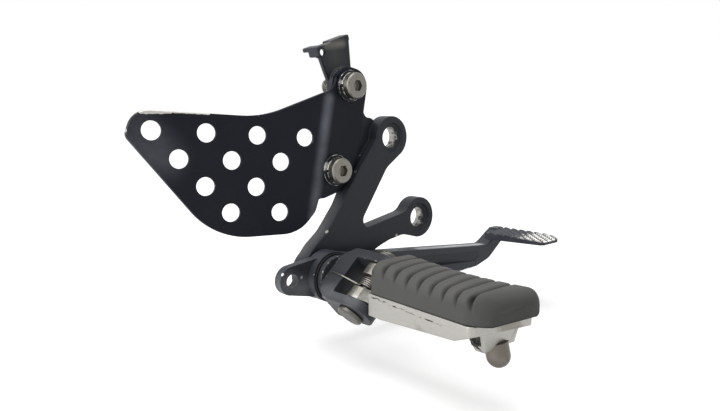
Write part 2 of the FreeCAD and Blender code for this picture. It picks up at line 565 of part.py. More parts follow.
def footpeg():
    """Aluminium tray with knuckles and feeler boss."""
    px = PIVOT[0]
    top = TRAY_TOP_Z
    slab = plan(tray_plan(0, TRAY_IN_Y, 0, TRAY_CORNER_R), top - 20, top)
    side = Part.Face(Part.makePolygon([Vector(-90, TRAY_IN_Y + 1, top + 1),
                                       Vector(-90, TRAY_IN_Y + 1, top - TRAY_DEPTH_IN),
                                       Vector(-90, TRAY_IN_Y - 8, top - TRAY_DEPTH_IN),
                                       Vector(-90, -105, top - TRAY_DEPTH_MID),
                                       Vector(-90, -113, top - TRAY_DEPTH_END - 0.6),
                                       Vector(-90, -125, top - TRAY_DEPTH_END),
                                       Vector(-90, -125, top + 1), Vector(-90, TRAY_IN_Y + 1, top + 1)]))
    tray = slab.common(side.extrude(Vector(90, 0, 0)))
    recess = plan(tray_plan(TRAY_RIM, TRAY_IN_Y - 4, -TRAY_RIM - 1, 2), top - TRAY_RECESS, top + 1)
    tray = tray.cut(recess)
    near, far = RUBBER_SCREW_Y
    near += POST_R + 2
    far -= POST_R - 2
    hollow = plan([(px - 8.5, near, 3), (px + 8.5, near, 3), (px + 9.8, far, 3), (px - 9.8, far, 3)],
                  top - 20, top - TRAY_RECESS - 2.4)
    posts = [Part.makeCylinder(POST_R, 20, Vector(px, y, top - 20)) for y in RUBBER_SCREW_Y]
    tray = tray.cut(hollow.cut(Part.makeCompound(posts)))
    flare_x, flare_y = FEELER_BOSS_FLARE
    rings = []
    for grow, z in ((0, FEELER_BOSS_Z), (1, top - TRAY_DEPTH_END + 0.6)):
        x0, x1 = FEELER_BOSS[0] - flare_x * grow, FEELER_BOSS[1] + 0.6 * grow
        y0, y1 = FEELER_BOSS_Y[0] - flare_y * grow, FEELER_BOSS_Y[1] + 2.2 * flare_y * grow
        rings.append(Part.makePolygon([Vector(x0, y0, z), Vector(x1, y0, z), Vector(x1, y1, z),
                                       Vector(x0, y1, z), Vector(x0, y0, z)]))
    boss = Part.makeLoft(rings, True, True)
    y0, y1 = FEELER_BOSS_Y
    lip = FEELER_BOSS_Z + BOSS_LIP
    side_pocket = box(FEELER_BOSS[0] - 9, FEELER_BOSS[0] + BOSS_POCKET, y0 + 1.2, y1 + 1, lip, lip + 5)
    boss = boss.cut(side_pocket)
    knuckles = []
    edge = SLOT_HALF - KNUCKLE_SIDE_GAP
    for sign in (-1, 1):
        a, b = sign * edge, sign * (edge - KNUCKLE_W)
        knuckles.append(hinge_frame(bar_x(KNUCKLE_R, a, b)))
        arm = box(a, b, TRAY_IN_Y - PIN_Y, 0, -KNUCKLE_R, KNUCKLE_R - 1.0)
        knuckles.append(hinge_frame(arm))
    web = box(px - 9, px + 7.8, TRAY_IN_Y - 3, TRAY_IN_Y + 3.5, top - TRAY_DEPTH_IN + 0.5, top - 1)
    body = join(tray, boss, web, *knuckles)
    rise = box(-90, 0, TRAY_IN_Y - 0.4, -20, top - TRAY_DEPTH_IN - 1.5, top + 12)
    keep = box(-90, 0, TRAY_IN_Y - 0.4, -130, -100, top)
    body = body.common(join(rise, keep))
    barrel = hinge_frame(bar_x(PIN_D / 2 + PIN_CLEAR, -30, 30))
    gap = SPRING_COILS * SPRING_WIRE / 2 + 0.5
    clear = hinge_frame(join(bar_x(KNUCKLE_R + 1.6, -gap, gap),
                             box(-gap, gap, -11.9, 0, 2.0, KNUCKLE_R + 1.6)))
    floor = hinge_frame(box(-SLOT_HALF - 8, SLOT_HALF + 8, CLEVIS_R + 0.4, 30, -30, 30))
    sweep = CLEVIS_NOSE + CLEVIS_R + EAR_SWEEP_GAP
    ears = [hinge_frame(bar_x(sweep, sign * edge, sign * (EAR_OUT + 1))) for sign in (-1, 1)]
    cuts = [barrel, clear, floor, *ears]
    for y in RUBBER_SCREW_Y:
        cuts.append(Part.makeCylinder(RUBBER_SCREW_D / 2 + RUBBER_SCREW_CLEAR, 40, Vector(px, y, top - 30)))
        cuts.append(Part.makeCylinder(RUBBER_SCREW_HEAD_D / 2 + 0.4, 20,
                                      Vector(px, y, top - TRAY_RECESS - 3.2 - 20)))
    cuts.append(feeler_rod(FEELER_SHANK_D / 2 + 0.1, -FEELER_SHANK_L - 0.2, 3))
    cuts.append(feeler_rod(FEELER_D / 2 + 0.15, -FEELER_SINK, 6))
    return body.cut(Part.makeCompound(cuts)).removeSplitter()


def feeler_rod(r, start, end):
    """Cylinder on the feeler's leaning axis, measured from the boss's lower face."""
    lean = math.radians(FEELER_LEAN)
    axis = Vector(0, -math.sin(lean), -math.cos(lean))
    x = (FEELER_BOSS[0] + FEELER_BOSS[1]) / 2 + FEELER_OFF
    y = (FEELER_BOSS_Y[0] + FEELER_BOSS_Y[1]) / 2
    base = Vector(x, y, FEELER_BOSS_Z) + axis * start
    return Part.makeCylinder(r, end - start, base, axis)


def bank_feeler():
    """Round-nosed stud that touches the road first."""
    lean = math.radians(FEELER_LEAN)
    axis = Vector(0, -math.sin(lean), -math.cos(lean))
    x = (FEELER_BOSS[0] + FEELER_BOSS[1]) / 2 + FEELER_OFF
    y = (FEELER_BOSS_Y[0] + FEELER_BOSS_Y[1]) / 2
    start = -FEELER_SINK + SEAT_GAP
    nose = Vector(x, y, FEELER_BOSS_Z) + axis * (FEELER_REACH - FEELER_D / 2)
    return join(feeler_rod(FEELER_D / 2, start, FEELER_REACH - FEELER_D / 2),
                Part.makeSphere(FEELER_D / 2, nose),
                feeler_rod(FEELER_SHANK_D / 2, -FEELER_SHANK_L, start + 1))


def rubber_set():
    """Cover, its steel insert and the screws from beneath."""
    px = PIVOT[0]
    foot = TRAY_TOP_Z + SEAT_GAP
    half = half_width(RUBBER_IN_Y)
    front, bulge, rear = RUBBER_END
    cover = plan([(px - half, RUBBER_IN_Y, 0), (px + half, RUBBER_IN_Y, 0), front + (RUBBER_CORNER_R,),
                  bulge + (RUBBER_BULGE_R,), rear + (RUBBER_CORNER_R,)], foot, RUBBER_TOP_Z + 6)
    pivot = Vector(px, RUBBER_IN_Y, RUBBER_TOP_Z)
    above = box(px - 40, px + 40, RUBBER_IN_Y - 90, RUBBER_IN_Y + 10, RUBBER_TOP_Z, RUBBER_TOP_Z + 20)
    above.rotate(pivot, Vector(1, 0, 0), RUBBER_FALL)
    cover = cover.cut(above)
    crown = [e for e in cover.Edges
             if e.BoundBox.ZMin > RUBBER_TOP_Z - 6 and e.BoundBox.YMin < RUBBER_IN_Y - 2]
    cover = cover.makeFillet(RUBBER_EDGE_R, crown)
    core = rod(px, RUBBER_TOP_Z - RIB_DEPTH - RIB_CORE_R, RIB_CORE_R, TRAY_OUT_Y - 23, RUBBER_IN_Y + 16)
    core.rotate(pivot, Vector(1, 0, 0), RUBBER_FALL)
    lift = prism([(rear[0], foot, 0), (front[0] + 4, foot + RUBBER_LIFT, 0), (front[0] + 4, foot - 3, 0),
                  (rear[0], foot - 3, 0)], TRAY_OUT_Y - 18, TRAY_OUT_Y + 2)
    cover = cover.cut(lift)
    grooves = []
    for k in range(RIB_COUNT):
        centre = Vector(px, RIB_FIRST_Y - k * RIB_PITCH + RIB_ARC_R, foot)
        ring = Part.makeCylinder(RIB_ARC_R, 30, centre)
        ring = ring.cut(Part.makeCylinder(RIB_ARC_R - RIB_GROOVE_W, 30, centre))
        ring = ring.common(box(px - 20, px + 20, centre.y - 30, centre.y - 6, foot, 0))
        grooves.append(ring.cut(core))
    cover = cover.cut(Part.makeCompound(grooves))
    insert_top = TRAY_TOP_Z - TRAY_RECESS + 0.2 + PLATE_INSERT_T
    insert = plan(tray_plan(TRAY_RIM + PLATE_INSERT_EDGE, TRAY_IN_Y - 5, -TRAY_RIM - 2, 2),
                  insert_top - PLATE_INSERT_T, insert_top)
    screws = []
    for y in RUBBER_SCREW_Y:
        seat = TRAY_TOP_Z - TRAY_RECESS - 3.2
        head = Part.makeCylinder(RUBBER_SCREW_HEAD_D / 2, RUBBER_SCREW_HEAD_H,
                                 Vector(px, y, seat - RUBBER_SCREW_HEAD_H))
        shank = Part.makeCylinder(RUBBER_SCREW_D / 2, insert_top + RUBBER_SCREW_HEAD_H - 0.3 - seat,
                                  Vector(px, y, seat - RUBBER_SCREW_HEAD_H + 0.3))
        drive = Part.makeCylinder(1.6, 1.4, Vector(px, y, seat - RUBBER_SCREW_HEAD_H))
        screws.append(join(head, shank).cut(drive))
        insert = insert.cut(Part.makeCylinder(RUBBER_SCREW_D / 2 + 0.02, 20, Vector(px, y, insert_top - 10)))
    return cover, insert, Part.makeCompound(screws)


def build():
    """Every node, by name."""
    screws, locks, washers = screw_stack()
    bush, inner, outer = pivot_rings()
    bolt, bolt_washer = holder_bolt()
    pin, pin_washer, clip, spring = hinge_set()
    cover, insert, rubber_screws = rubber_set()
    return {
        "main_bracket": main_bracket(), "heel_guard": heel_guard(), "heel_guard_screws": screws,
        "heel_guard_lock_washers": locks, "heel_guard_washers": washers, "brake_pedal": brake_pedal(),
        "pedal_bush": bush, "pedal_inner_seal": inner, "pedal_outer_seal": outer, "peg_holder": peg_holder(),
        "holder_bolt": bolt, "holder_washer": bolt_washer, "footpeg": footpeg(), "peg_rubber": cover,
        "rubber_plate": insert, "rubber_screws": rubber_screws, "bank_feeler": bank_feeler(),
        "hinge_pin": pin, "pin_washer": pin_washer, "pin_clip": clip, "fold_spring": spring,
    }


os.makedirs("parts", exist_ok=True)
for name, shape in build().items():
    print(name, len(shape.Solids), shape.isValid(), round(shape.Volume, 1))
    shape.exportStep("parts/%s.step" % name)
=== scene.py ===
"""Looks of a right-hand motorcycle rider footrest: castings, heel guard, brake pedal, folding peg.

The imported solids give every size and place. This script rounds their edges, makes the ribbed rubber
cover, the spring and the screw threads as meshes of their own, and gives each surface its finish.
Lengths in the fields below are millimetres, in the part's own frame, unless a name says otherwise.
"""
from __future__ import annotations

import logging
import math
from dataclasses import dataclass
from enum import Enum

import bmesh
import bpy
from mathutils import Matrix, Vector
from mathutils.bvhtree import BVHTree


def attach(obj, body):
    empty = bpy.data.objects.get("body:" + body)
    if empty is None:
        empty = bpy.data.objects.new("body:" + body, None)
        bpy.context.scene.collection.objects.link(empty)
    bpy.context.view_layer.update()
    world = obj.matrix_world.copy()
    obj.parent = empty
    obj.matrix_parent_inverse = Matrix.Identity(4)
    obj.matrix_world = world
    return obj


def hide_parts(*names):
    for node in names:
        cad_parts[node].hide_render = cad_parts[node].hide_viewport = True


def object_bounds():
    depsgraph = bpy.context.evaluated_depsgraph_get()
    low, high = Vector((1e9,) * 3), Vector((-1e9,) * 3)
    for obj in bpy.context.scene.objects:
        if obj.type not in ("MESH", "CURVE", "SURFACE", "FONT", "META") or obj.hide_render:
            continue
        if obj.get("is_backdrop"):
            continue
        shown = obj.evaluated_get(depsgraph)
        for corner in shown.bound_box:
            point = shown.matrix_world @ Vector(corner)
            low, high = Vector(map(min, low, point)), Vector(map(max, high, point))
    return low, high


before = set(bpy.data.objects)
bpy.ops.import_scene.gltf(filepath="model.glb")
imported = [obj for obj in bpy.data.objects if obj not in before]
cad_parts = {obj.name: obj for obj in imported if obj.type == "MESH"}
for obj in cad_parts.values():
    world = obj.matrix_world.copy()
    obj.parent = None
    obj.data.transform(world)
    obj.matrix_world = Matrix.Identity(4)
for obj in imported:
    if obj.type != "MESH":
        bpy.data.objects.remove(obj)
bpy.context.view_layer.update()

MM = 0.001
LOG = logging.getLogger("footrest")
Material = bpy.types.Material
Node = bpy.types.Node
NodeTree = bpy.types.NodeTree
Object = bpy.types.Object
Point = tuple[float, float, float]
Source = bpy.types.NodeSocket | bpy.types.Node

WHITE = (1.0, 1.0, 1.0, 1.0)
NOISE_SPAN = {"From Min": 0.3, "From Max": 0.7}  # a noise texture mostly stays between these


class Body(Enum):
    """The bodies that pieces ride on."""

    BRACKET = "bracket"
    PEDAL = "pedal"
    PEG = "peg"


class Kind(Enum):
    """The kinds of node that the trees use, each with the one setting that it needs, if any."""

    DIVIDE = "ShaderNodeMath", "operation", "DIVIDE"
    GREATER_THAN = "ShaderNodeMath", "operation", "GREATER_THAN"
    LESS_THAN = "ShaderNodeMath", "operation", "LESS_THAN"
    MAXIMUM = "ShaderNodeMath", "operation", "MAXIMUM"
    MULTIPLY = "ShaderNodeMath", "operation", "MULTIPLY"
    MULTIPLY_ADD = "ShaderNodeMath", "operation", "MULTIPLY_ADD"
    POWER = "ShaderNodeMath", "operation", "POWER"
    ROUND = "ShaderNodeMath", "operation", "ROUND"
    SQRT = "ShaderNodeMath", "operation", "SQRT"
    SUBTRACT = "ShaderNodeMath", "operation", "SUBTRACT"
    DISTANCE = "ShaderNodeVectorMath", "operation", "DISTANCE"
    DOT = "ShaderNodeVectorMath", "operation", "DOT_PRODUCT"
    LENGTH = "ShaderNodeVectorMath", "operation", "LENGTH"
    OFFSET = "ShaderNodeVectorMath", "operation", "SUBTRACT"
    SCALE = "ShaderNodeVectorMath", "operation", "SCALE"
    RANGE = "ShaderNodeMapRange", "interpolation_type", "LINEAR"
    SMOOTH = "ShaderNodeMapRange", "interpolation_type", "SMOOTHSTEP"
    TINT = "ShaderNodeMix", "data_type", "RGBA"
    RIM = "ShaderNodeAttribute", "attribute_name", "rim"
    GROOVE = "ShaderNodeAttribute", "attribute_name", "groove"
    FILLET = "GeometryNodeFilletCurve", "mode", "POLY"
    BUMP = "ShaderNodeBump"
    CLAMP = "ShaderNodeClamp"
    COORDINATES = "ShaderNodeTexCoord"
    FACING = "ShaderNodeNewGeometry"
    LIGHT_PATH = "ShaderNodeLightPath"
    MAPPING = "ShaderNodeMapping"
    NOISE = "ShaderNodeTexNoise"
    SPLIT = "ShaderNodeSeparateXYZ"
    UNITE = "ShaderNodeCombineXYZ"
    CIRCLE = "GeometryNodeCurvePrimitiveCircle"
    COPIES = "GeometryNodeInstanceOnPoints"
    JOIN = "GeometryNodeJoinGeometry"
    LINE = "GeometryNodeCurvePrimitiveLine"
    MOVE = "GeometryNodeSetPosition"
    NORMAL = "GeometryNodeInputNormal"
    POSITION = "GeometryNodeInputPosition"
    REALIZE = "GeometryNodeRealizeInstances"
    SET_MATERIAL = "GeometryNodeSetMaterial"
    SPIRAL = "GeometryNodeCurveSpiral"
    STORE = "GeometryNodeStoreNamedAttribute"
    SWEEP = "GeometryNodeCurveToMesh"
    TO_CURVE = "GeometryNodeMeshToCurve"
    TO_POINTS = "GeometryNodeMeshToPoints"
    TRANSFORM = "GeometryNodeTransform"

    def __init__(self, type_name: str, setting: str = "", choice: str = "") -> None:
        """Hold what a node of this kind needs.

        Args:
            type_name: The node's type.
            setting: The attribute to set, if any.
            choice: Its value.
        """
        self.type_name = type_name
        self.setting = setting
        self.choice = choice


def linear(code: str) -> tuple[float, float, float, float]:
    """Turn an sRGB hex colour into linear values.

    Args:
        code: Six hex digits after a hash sign.

    Returns:
        Red, green, blue and alpha.
    """
    parts = [int(code[i:i + 2], 16) / 255 for i in (1, 3, 5)]
    return tuple(c / 12.92 if c <= 0.04045 else ((c + 0.055) / 1.055) ** 2.4 for c in parts) + (1.0,)


def per(size: float) -> float:
    """Texture scale at which one feature measures the given number of millimetres."""
    return 1 / (size * MM)


def feed(node: Node, inputs: dict | tuple) -> None:
    """Set a node's inputs.

    Args:
        node: The node.
        inputs: What each input gets, by name or number, or in order: a value, a socket, a node, which
            stands for its first output in use, or a list of nodes that one input joins.
    """
    for key, given in inputs.items() if isinstance(inputs, dict) else enumerate(inputs):
        for value in given if isinstance(given, list) else [given]:
            if isinstance(value, Node):
                value = next(socket for socket in value.outputs if socket.enabled)
            if isinstance(value, bpy.types.NodeSocket):
                node.id_data.links.new(value, node.inputs[key])
            else:
                node.inputs[key].default_value = value


def add(tree: NodeTree, kind: Kind, inputs: dict | tuple = ()) -> Node:
    """Add a node with its setting and links.

    Args:
        tree: The tree that gets the node.
        kind: The kind of node.
        inputs: What its inputs get, as feed takes it.

    Returns:
        The new node.
    """
    node = tree.nodes.new(kind.type_name)
    if kind.setting:
        setattr(node, kind.setting, kind.choice)
    feed(node, inputs)
    return node


@dataclass(frozen=True)
class Spot:
    """A worn or darker place on a surface.

    Attributes:
        at: Middle of the spot.
        reach: Radius at which it ends.
    """

    at: Point
    reach: float


@dataclass(frozen=True)
class Streak:
    """A straight line on a surface along which worn metal, black scuffs and painted highlights are laid.

    Attributes:
        start: One end.
        end: The other end.
        reach: Distance at which it ends.
        strength: How strong it is on the line itself, 1 being plain.
    """

    start: Point
    end: Point
    reach: float
    strength: float = 1.0


@dataclass(frozen=True)
class WornTops:
    """A round patch of a raised pattern whose tops are worn bright.

    Attributes:
        at: Middle of the patch.
        reach: Radius at which it ends.
        level: Height of the tops.
        depths: Depths under the tops between which the brightness ends.
    """

    at: Point
    reach: float
    level: float
    depths: tuple[float, float] = (0.3, 0.6)


def streak_mask(tree: NodeTree, place: Source, streak: Streak) -> Node:
    """Soft mask around a line.

    Args:
        tree: The material's tree.
        place: Object coordinates.
        streak: The line.

    Returns:
        The mask, strongest on the line.
    """
    start, end = Vector(streak.start) * MM, Vector(streak.end) * MM
    along = end - start
    offset = add(tree, Kind.OFFSET, (place, start))
    dot = add(tree, Kind.DOT, (offset, along / along.length_squared))
    share = add(tree, Kind.CLAMP, {"Value": dot})
    foot = add(tree, Kind.SCALE, {0: along, "Scale": share})
    far = add(tree, Kind.DISTANCE, (offset, foot))
    return add(tree, Kind.SMOOTH, {"Value": far, "From Max": streak.reach * MM, "To Min": streak.strength,
                                   "To Max": 0.0})


def spot_mask(tree: NodeTree, place: Source, ragged: Source, spots: tuple[Spot, ...],
              first: Source | float = 0.0) -> Source:
    """Join ragged round spots to a mask.

    Args:
        tree: The material's tree.
        place: Object coordinates.
        ragged: Noise that tears the outline of each spot.
        spots: The spots.
        first: The mask that the spots are added to, if any.

    Returns:
        The joined mask.
    """
    torn_share, full_at, gone_at = 1.3, -0.05, 0.25  # shares of a spot's reach
    mask = first
    for spot in spots:
        reach = spot.reach * MM
        far = add(tree, Kind.DISTANCE, (place, Vector(spot.at) * MM))
        torn = add(tree, Kind.MULTIPLY_ADD, (ragged, -torn_share * reach, far))
        inside = add(tree, Kind.SMOOTH, {"Value": torn, "From Min": full_at * reach,
                                         "From Max": gone_at * reach, "To Min": 1.0, "To Max": 0.0})
        mask = add(tree, Kind.MAXIMUM, (mask, inside))
    return mask


def fresh_material(name: str) -> tuple[Material, NodeTree, Node]:
    """Make an empty material.

    Args:
        name: The material's name.

    Returns:
        The material, its tree and its Principled shader.
    """
    material = bpy.data.materials.new(name)
    material.use_nodes = True
    return material, material.node_tree, material.node_tree.nodes["Principled BSDF"]


@dataclass(frozen=True)
class SatinPaint:
    """Satin black paint on metal: a dull film that wears through to bright metal at its edges, with paler
    painted highlights where light catches it.

    Attributes:
        name: The material's name.
        colour: The paint.
        dust: The paint where it is rubbed dull.
        bare: The metal under it.
        gloss: Roughness of the film.
        uneven: How much smoother and how much rougher it is in patches.
        cloud: Size of its duller patches.
        tear: Size of the torn outlines where it is gone.
        grain: Size of the skin grain under it.
        skin: Height of that grain.
        sheen: Strength of the film's reflection.
        wear: How much of the edges is worn through, from 0 to 1.
        chips: Places where the film is knocked off.
        bare_edges: Lines along which the film is worn off.
        tops: Patches of a raised pattern that are worn bright.
        painted_highlights: Lines along which a paler film is painted as a highlight, where light catches the
            surface.
        wear_and_highlight: The colour of that painted highlight.
    """

    name: str
    colour: str
    dust: str
    bare: str = "#b7b5b0"
    gloss: float = 0.42
    uneven: tuple[float, float] = (0.05, 0.08)
    cloud: float = 16.0
    tear: float = 2.4
    grain: float = 0.9
    skin: float = 0.05
    sheen: float = 0.2
    wear: float = 0.3
    chips: tuple[Spot, ...] = ()
    bare_edges: tuple[Streak, ...] = ()
    tops: tuple[WornTops, ...] = ()
    painted_highlights: tuple[Streak, ...] = ()
    wear_and_highlight: str = "#4a4d55"

    def bare_mask(self, tree: NodeTree, place: Source) -> Source:
        """Mask of the metal that shows: worn edges, chips, worn lines and worn tops.

        Args:
            tree: The material's tree.
            place: Object coordinates.

        Returns:
            The mask.
        """
        rim = add(tree, Kind.RIM).outputs["Fac"]
        ragged = add(tree, Kind.NOISE, {"Vector": place, "Scale": per(self.tear), "Detail": 5.0,
                                        "Roughness": 0.7})
        eased = 0.28 * self.wear  # more wear lowers the noise level above which an edge is bare
        wear_and_highlight = add(tree, Kind.RANGE, {"Value": ragged, "From Min": 0.74 - eased, "From Max": 0.84 - eased})
        edge = add(tree, Kind.MULTIPLY, (wear_and_highlight, rim))
        bare = spot_mask(tree, place, ragged, self.chips, edge)
        worn = []
        for streak in self.bare_edges:  # the noise tears the sides of each line
            line = add(tree, Kind.MULTIPLY_ADD, (ragged, 0.5, streak_mask(tree, place, streak)))
            worn.append(add(tree, Kind.RANGE, {"Value": line, "From Min": 0.9, "From Max": 1.0}))
        for patch in self.tops:
            near = spot_mask(tree, place, ragged, (Spot(patch.at, patch.reach),))
            height = add(tree, Kind.SPLIT, (place,)).outputs["Z"]
            high, low = ((patch.level - depth) * MM for depth in patch.depths)
            top = add(tree, Kind.RANGE, {"Value": height, "From Min": low, "From Max": high})
            flat = add(tree, Kind.CLAMP, {"Value": add(tree, Kind.SUBTRACT, (top, rim))})
            worn.append(add(tree, Kind.MULTIPLY, (near, flat)))
        for mask in worn:
            bare = add(tree, Kind.MAXIMUM, (bare, mask))
        return bare

    def material(self) -> Material:
        """Build the node material.

        Returns:
            The material.
        """
        material, tree, shader = fresh_material(self.name)
        place = add(tree, Kind.COORDINATES).outputs["Object"]
        cloud = add(tree, Kind.NOISE, {"Vector": place, "Scale": per(self.cloud), "Detail": 4.0,
                                       "Roughness": 0.6})
        film = add(tree, Kind.TINT, {"Factor": cloud, 6: linear(self.colour), 7: linear(self.dust)})
        # Painted highlights: the film is painted paler along these lines, where light catches the surface.
        for streak in self.painted_highlights:
            part = add(tree, Kind.MULTIPLY, (streak_mask(tree, place, streak), cloud))
            film = add(tree, Kind.TINT, {"Factor": part, 6: film, 7: linear(self.wear_and_highlight)})
        bare = self.bare_mask(tree, place)
        smoother, rougher = self.uneven
        dull = {"Value": cloud, "To Min": self.gloss - smoother, "To Max": self.gloss + rougher}
        skin = add(tree, Kind.NOISE, {"Vector": place, "Scale": per(self.grain), "Detail": 2.0})
        bump = {"Height": skin, "Strength": 0.25, "Distance": self.skin * MM}
        feed(shader, {
            "Base Color": add(tree, Kind.TINT, {"Factor": bare, 6: film, 7: linear(self.bare)}),
            "Metallic": bare, "Roughness": add(tree, Kind.RANGE, dull | NOISE_SPAN),
            "Normal": add(tree, Kind.BUMP, bump), "Specular IOR Level": self.sheen})
        return material


@dataclass(frozen=True)
class BareMetal:
    """Uncoated metal: cast aluminium or plated steel, dulled by handling, with fine scratches and grime.

    Attributes:
        name: The material's name.
        colour: Clean metal.
        grime: Stained metal.
        gloss: Roughness of the clean metal.
        uneven: How much smoother and how much rougher its scratches make it.
        stain: Size of the stains.
        staining: Share of the surface that is stained, from 0 to 1.
        scratch: Width of the scratches, drawn coarse enough to show.
        depth: Depth of the scratches.
        drawn: Stretch of the scratches along X, Y and Z.
        spots: Round places where the metal is darker.
        scribbles: Lines along which black scuffs lie.
        scuff: The scuffs.
        scuff_size: Size of the scuffs.
        scuff_drawn: Stretch of the scuffs along X, Y and Z.
    """

    name: str
    colour: str
    grime: str
    gloss: float = 0.36
    uneven: tuple[float, float] = (0.06, 0.1)
    stain: float = 7.0
    staining: float = 0.4
    scratch: float = 0.7
    depth: float = 0.03
    drawn: Point = (1.0, 0.12, 1.0)
    spots: tuple[Spot, ...] = ()
    scribbles: tuple[Streak, ...] = ()
    scuff: str = "#2b2a29"
    scuff_size: float = 1.0
    scuff_drawn: Point = (1.0, 0.3, 1.8)

    def lines(self, tree: NodeTree, place: Source, drawn: Point, size: float) -> Node:
        """Noise that is drawn out one way.

        Args:
            tree: The material's tree.
            place: Object coordinates.
            drawn: Stretch along X, Y and Z.
            size: Width of its lines.

        Returns:
            The noise.
        """
        stretched = add(tree, Kind.MAPPING, {"Vector": place, "Scale": drawn})
        return add(tree, Kind.NOISE, {"Vector": stretched, "Scale": per(size), "Detail": 3.0})

    def material(self) -> Material:
        """Build the node material.

        Returns:
            The material.
        """
        material, tree, shader = fresh_material(self.name)
        place = add(tree, Kind.COORDINATES).outputs["Object"]
        cloud = add(tree, Kind.NOISE, {"Vector": place, "Scale": per(self.stain), "Detail": 6.0,
                                       "Roughness": 0.65})
        # More staining lowers the noise levels between which clean metal passes into stained.
        stained = add(tree, Kind.SMOOTH, {"Value": cloud, "From Min": 0.72 - 0.4 * self.staining,
                                          "From Max": 0.9 - 0.3 * self.staining})
        # stains, and darker round patches at the listed spots
        stains_and_dark_spots = spot_mask(tree, place, cloud, self.spots, stained)
        tint = add(tree, Kind.TINT, {"Factor": stains_and_dark_spots, 6: linear(self.colour), 7: linear(self.grime)})
        for streak in self.scribbles:
            scrawl = self.lines(tree, place, self.scuff_drawn, self.scuff_size)
            held = add(tree, Kind.MULTIPLY, (scrawl, streak_mask(tree, place, streak)))
            black = add(tree, Kind.RANGE, {"Value": held, "From Min": 0.5, "From Max": 0.58})  # short dashes
            tint = add(tree, Kind.TINT, {"Factor": black, 6: tint, 7: linear(self.scuff)})
        lines = self.lines(tree, place, self.drawn, self.scratch)
        smoother, rougher = self.uneven
        dull = {"Value": lines, "To Min": self.gloss - smoother, "To Max": self.gloss + rougher}
        bump = {"Height": lines, "Strength": 0.3, "Distance": self.depth * MM}
        feed(shader, {"Base Color": tint, "Metallic": 1.0, "Normal": add(tree, Kind.BUMP, bump),
                      "Roughness": add(tree, Kind.RANGE, dull | NOISE_SPAN)})
        return material


@dataclass(frozen=True)
class MouldedRubber:
    """Moulded rubber: matt, slightly dusty on what faces up, with the fine grain of its mould and painted
    shade in its grooves.

    Attributes:
        name: The material's name.
        colour: The rubber.
        dust: The rubber where dust lies on it.
        hollow: The painted shade in the bottoms of the grooves and along the foot.
        cloud: Size of the patches of dust.
        grain: Size of the mould's grain, drawn coarse enough to show.
        skin: Height of that grain.
        gloss: Roughness where it is wiped and where it is dusty.
        sheen: Strength of its reflection.
    """

    name: str
    colour: str
    dust: str
    hollow: str = "#1d1c1b"
    cloud: float = 9.0
    grain: float = 0.6
    skin: float = 0.05
    gloss: tuple[float, float] = (0.62, 0.78)
    sheen: float = 0.22

    def material(self) -> Material:
        """Build the node material.

        Returns:
            The material.
        """
        material, tree, shader = fresh_material(self.name)
        place = add(tree, Kind.COORDINATES).outputs["Object"]
        up = add(tree, Kind.SPLIT, (add(tree, Kind.FACING).outputs["Normal"],)).outputs["Z"]
        cloud = add(tree, Kind.NOISE, {"Vector": place, "Scale": per(self.cloud), "Detail": 5.0,
                                       "Roughness": 0.6})
        lying = add(tree, Kind.RANGE, {"Value": up, "From Min": -0.2, "From Max": 0.9})  # on what faces up
        dusty = add(tree, Kind.MULTIPLY, (lying, cloud))
        tint = add(tree, Kind.TINT, {"Factor": dusty, 6: linear(self.colour), 7: linear(self.dust)})
        # painted shade: the rib tree stores where groove bottoms and the foot lie in shade, and the rubber is
        # darkened there
        groove = add(tree, Kind.GROOVE).outputs["Fac"]
        dull = {"Value": cloud, "To Min": self.gloss[0], "To Max": self.gloss[1]}
        skin = add(tree, Kind.NOISE, {"Vector": place, "Scale": per(self.grain), "Detail": 3.0})
        bump = {"Height": skin, "Strength": 0.3, "Distance": self.skin * MM}
        feed(shader, {
            "Base Color": add(tree, Kind.TINT, {"Factor": groove, 6: tint, 7: linear(self.hollow)}),
            "Roughness": add(tree, Kind.RANGE, dull | NOISE_SPAN), "Normal": add(tree, Kind.BUMP, bump),
            "Specular IOR Level": self.sheen})
        return material


# Satin black paint on cast aluminium: near black with a soft sheen and a fine skin, painted highlights on its
# top tab and its lower rear rim, and bright specks of metal where stones hit it and where the frame bolts
# seat.
BRACKET_PAINT = SatinPaint(
    "satin_paint_on_cast_aluminium", "#1c1f24", "#2e3138", bare="#9b9993", wear_and_highlight="#8d8a84",
    chips=(Spot((-44.8, -7.9, -44.9), 1.1), Spot((-24.0, -6.1, -16.7), 1.1), Spot((-23.2, -7.8, -18.4), 0.9),
           Spot((3.6, -8.5, -53.2), 1.1), Spot((1.6, -8.5, -55.2), 1.0), Spot((0.0, -1.0, 0.0), 8.6),
           Spot((22.0, -1.0, -45.1), 8.6)),
    # painted highlights on the top tab, and painted light from below along the lower rear rim
    painted_highlights=(Streak((-37.5, 0.0, 45.8), (-27.0, 0.0, 47.2), 3.2),
          Streak((-33.0, 0.0, 44.0), (-30.0, 0.0, 36.0), 9.0, 0.2),
          Streak((-54.5, 0.5, -52.5), (-36.0, 0.5, -35.5), 9.5, 0.45)))
# The same paint on pressed sheet: darker and smoother, with a painted highlight along its bend and painted
# sheen by its upper rear corner, and worn to bright metal on its upper rear edge.
GUARD_PAINT = SatinPaint(
    "satin_paint_on_pressed_sheet", "#11131a", "#1c1f28", gloss=0.36, sheen=0.12, wear_and_highlight="#7a7e86",
    chips=(Spot((-132.4, 18.0, 6.0), 1.0),),
    bare_edges=(Streak((-126.0, 16.4, 14.0), (-114.2, 13.1, 14.1), 3.4),
                Streak((-114.2, 13.1, 14.1), (-98.0, 9.2, 13.2), 2.3)),
    # painted highlight along the bend line, and painted sheen on the upper rear corner
    painted_highlights=(Streak((-39.3, -4.2, 20.0), (-50.2, -4.4, -37.0), 4.4),
          Streak((-127.0, 16.5, 4.0), (-118.0, 14.0, -6.0), 15.0, 0.5)))
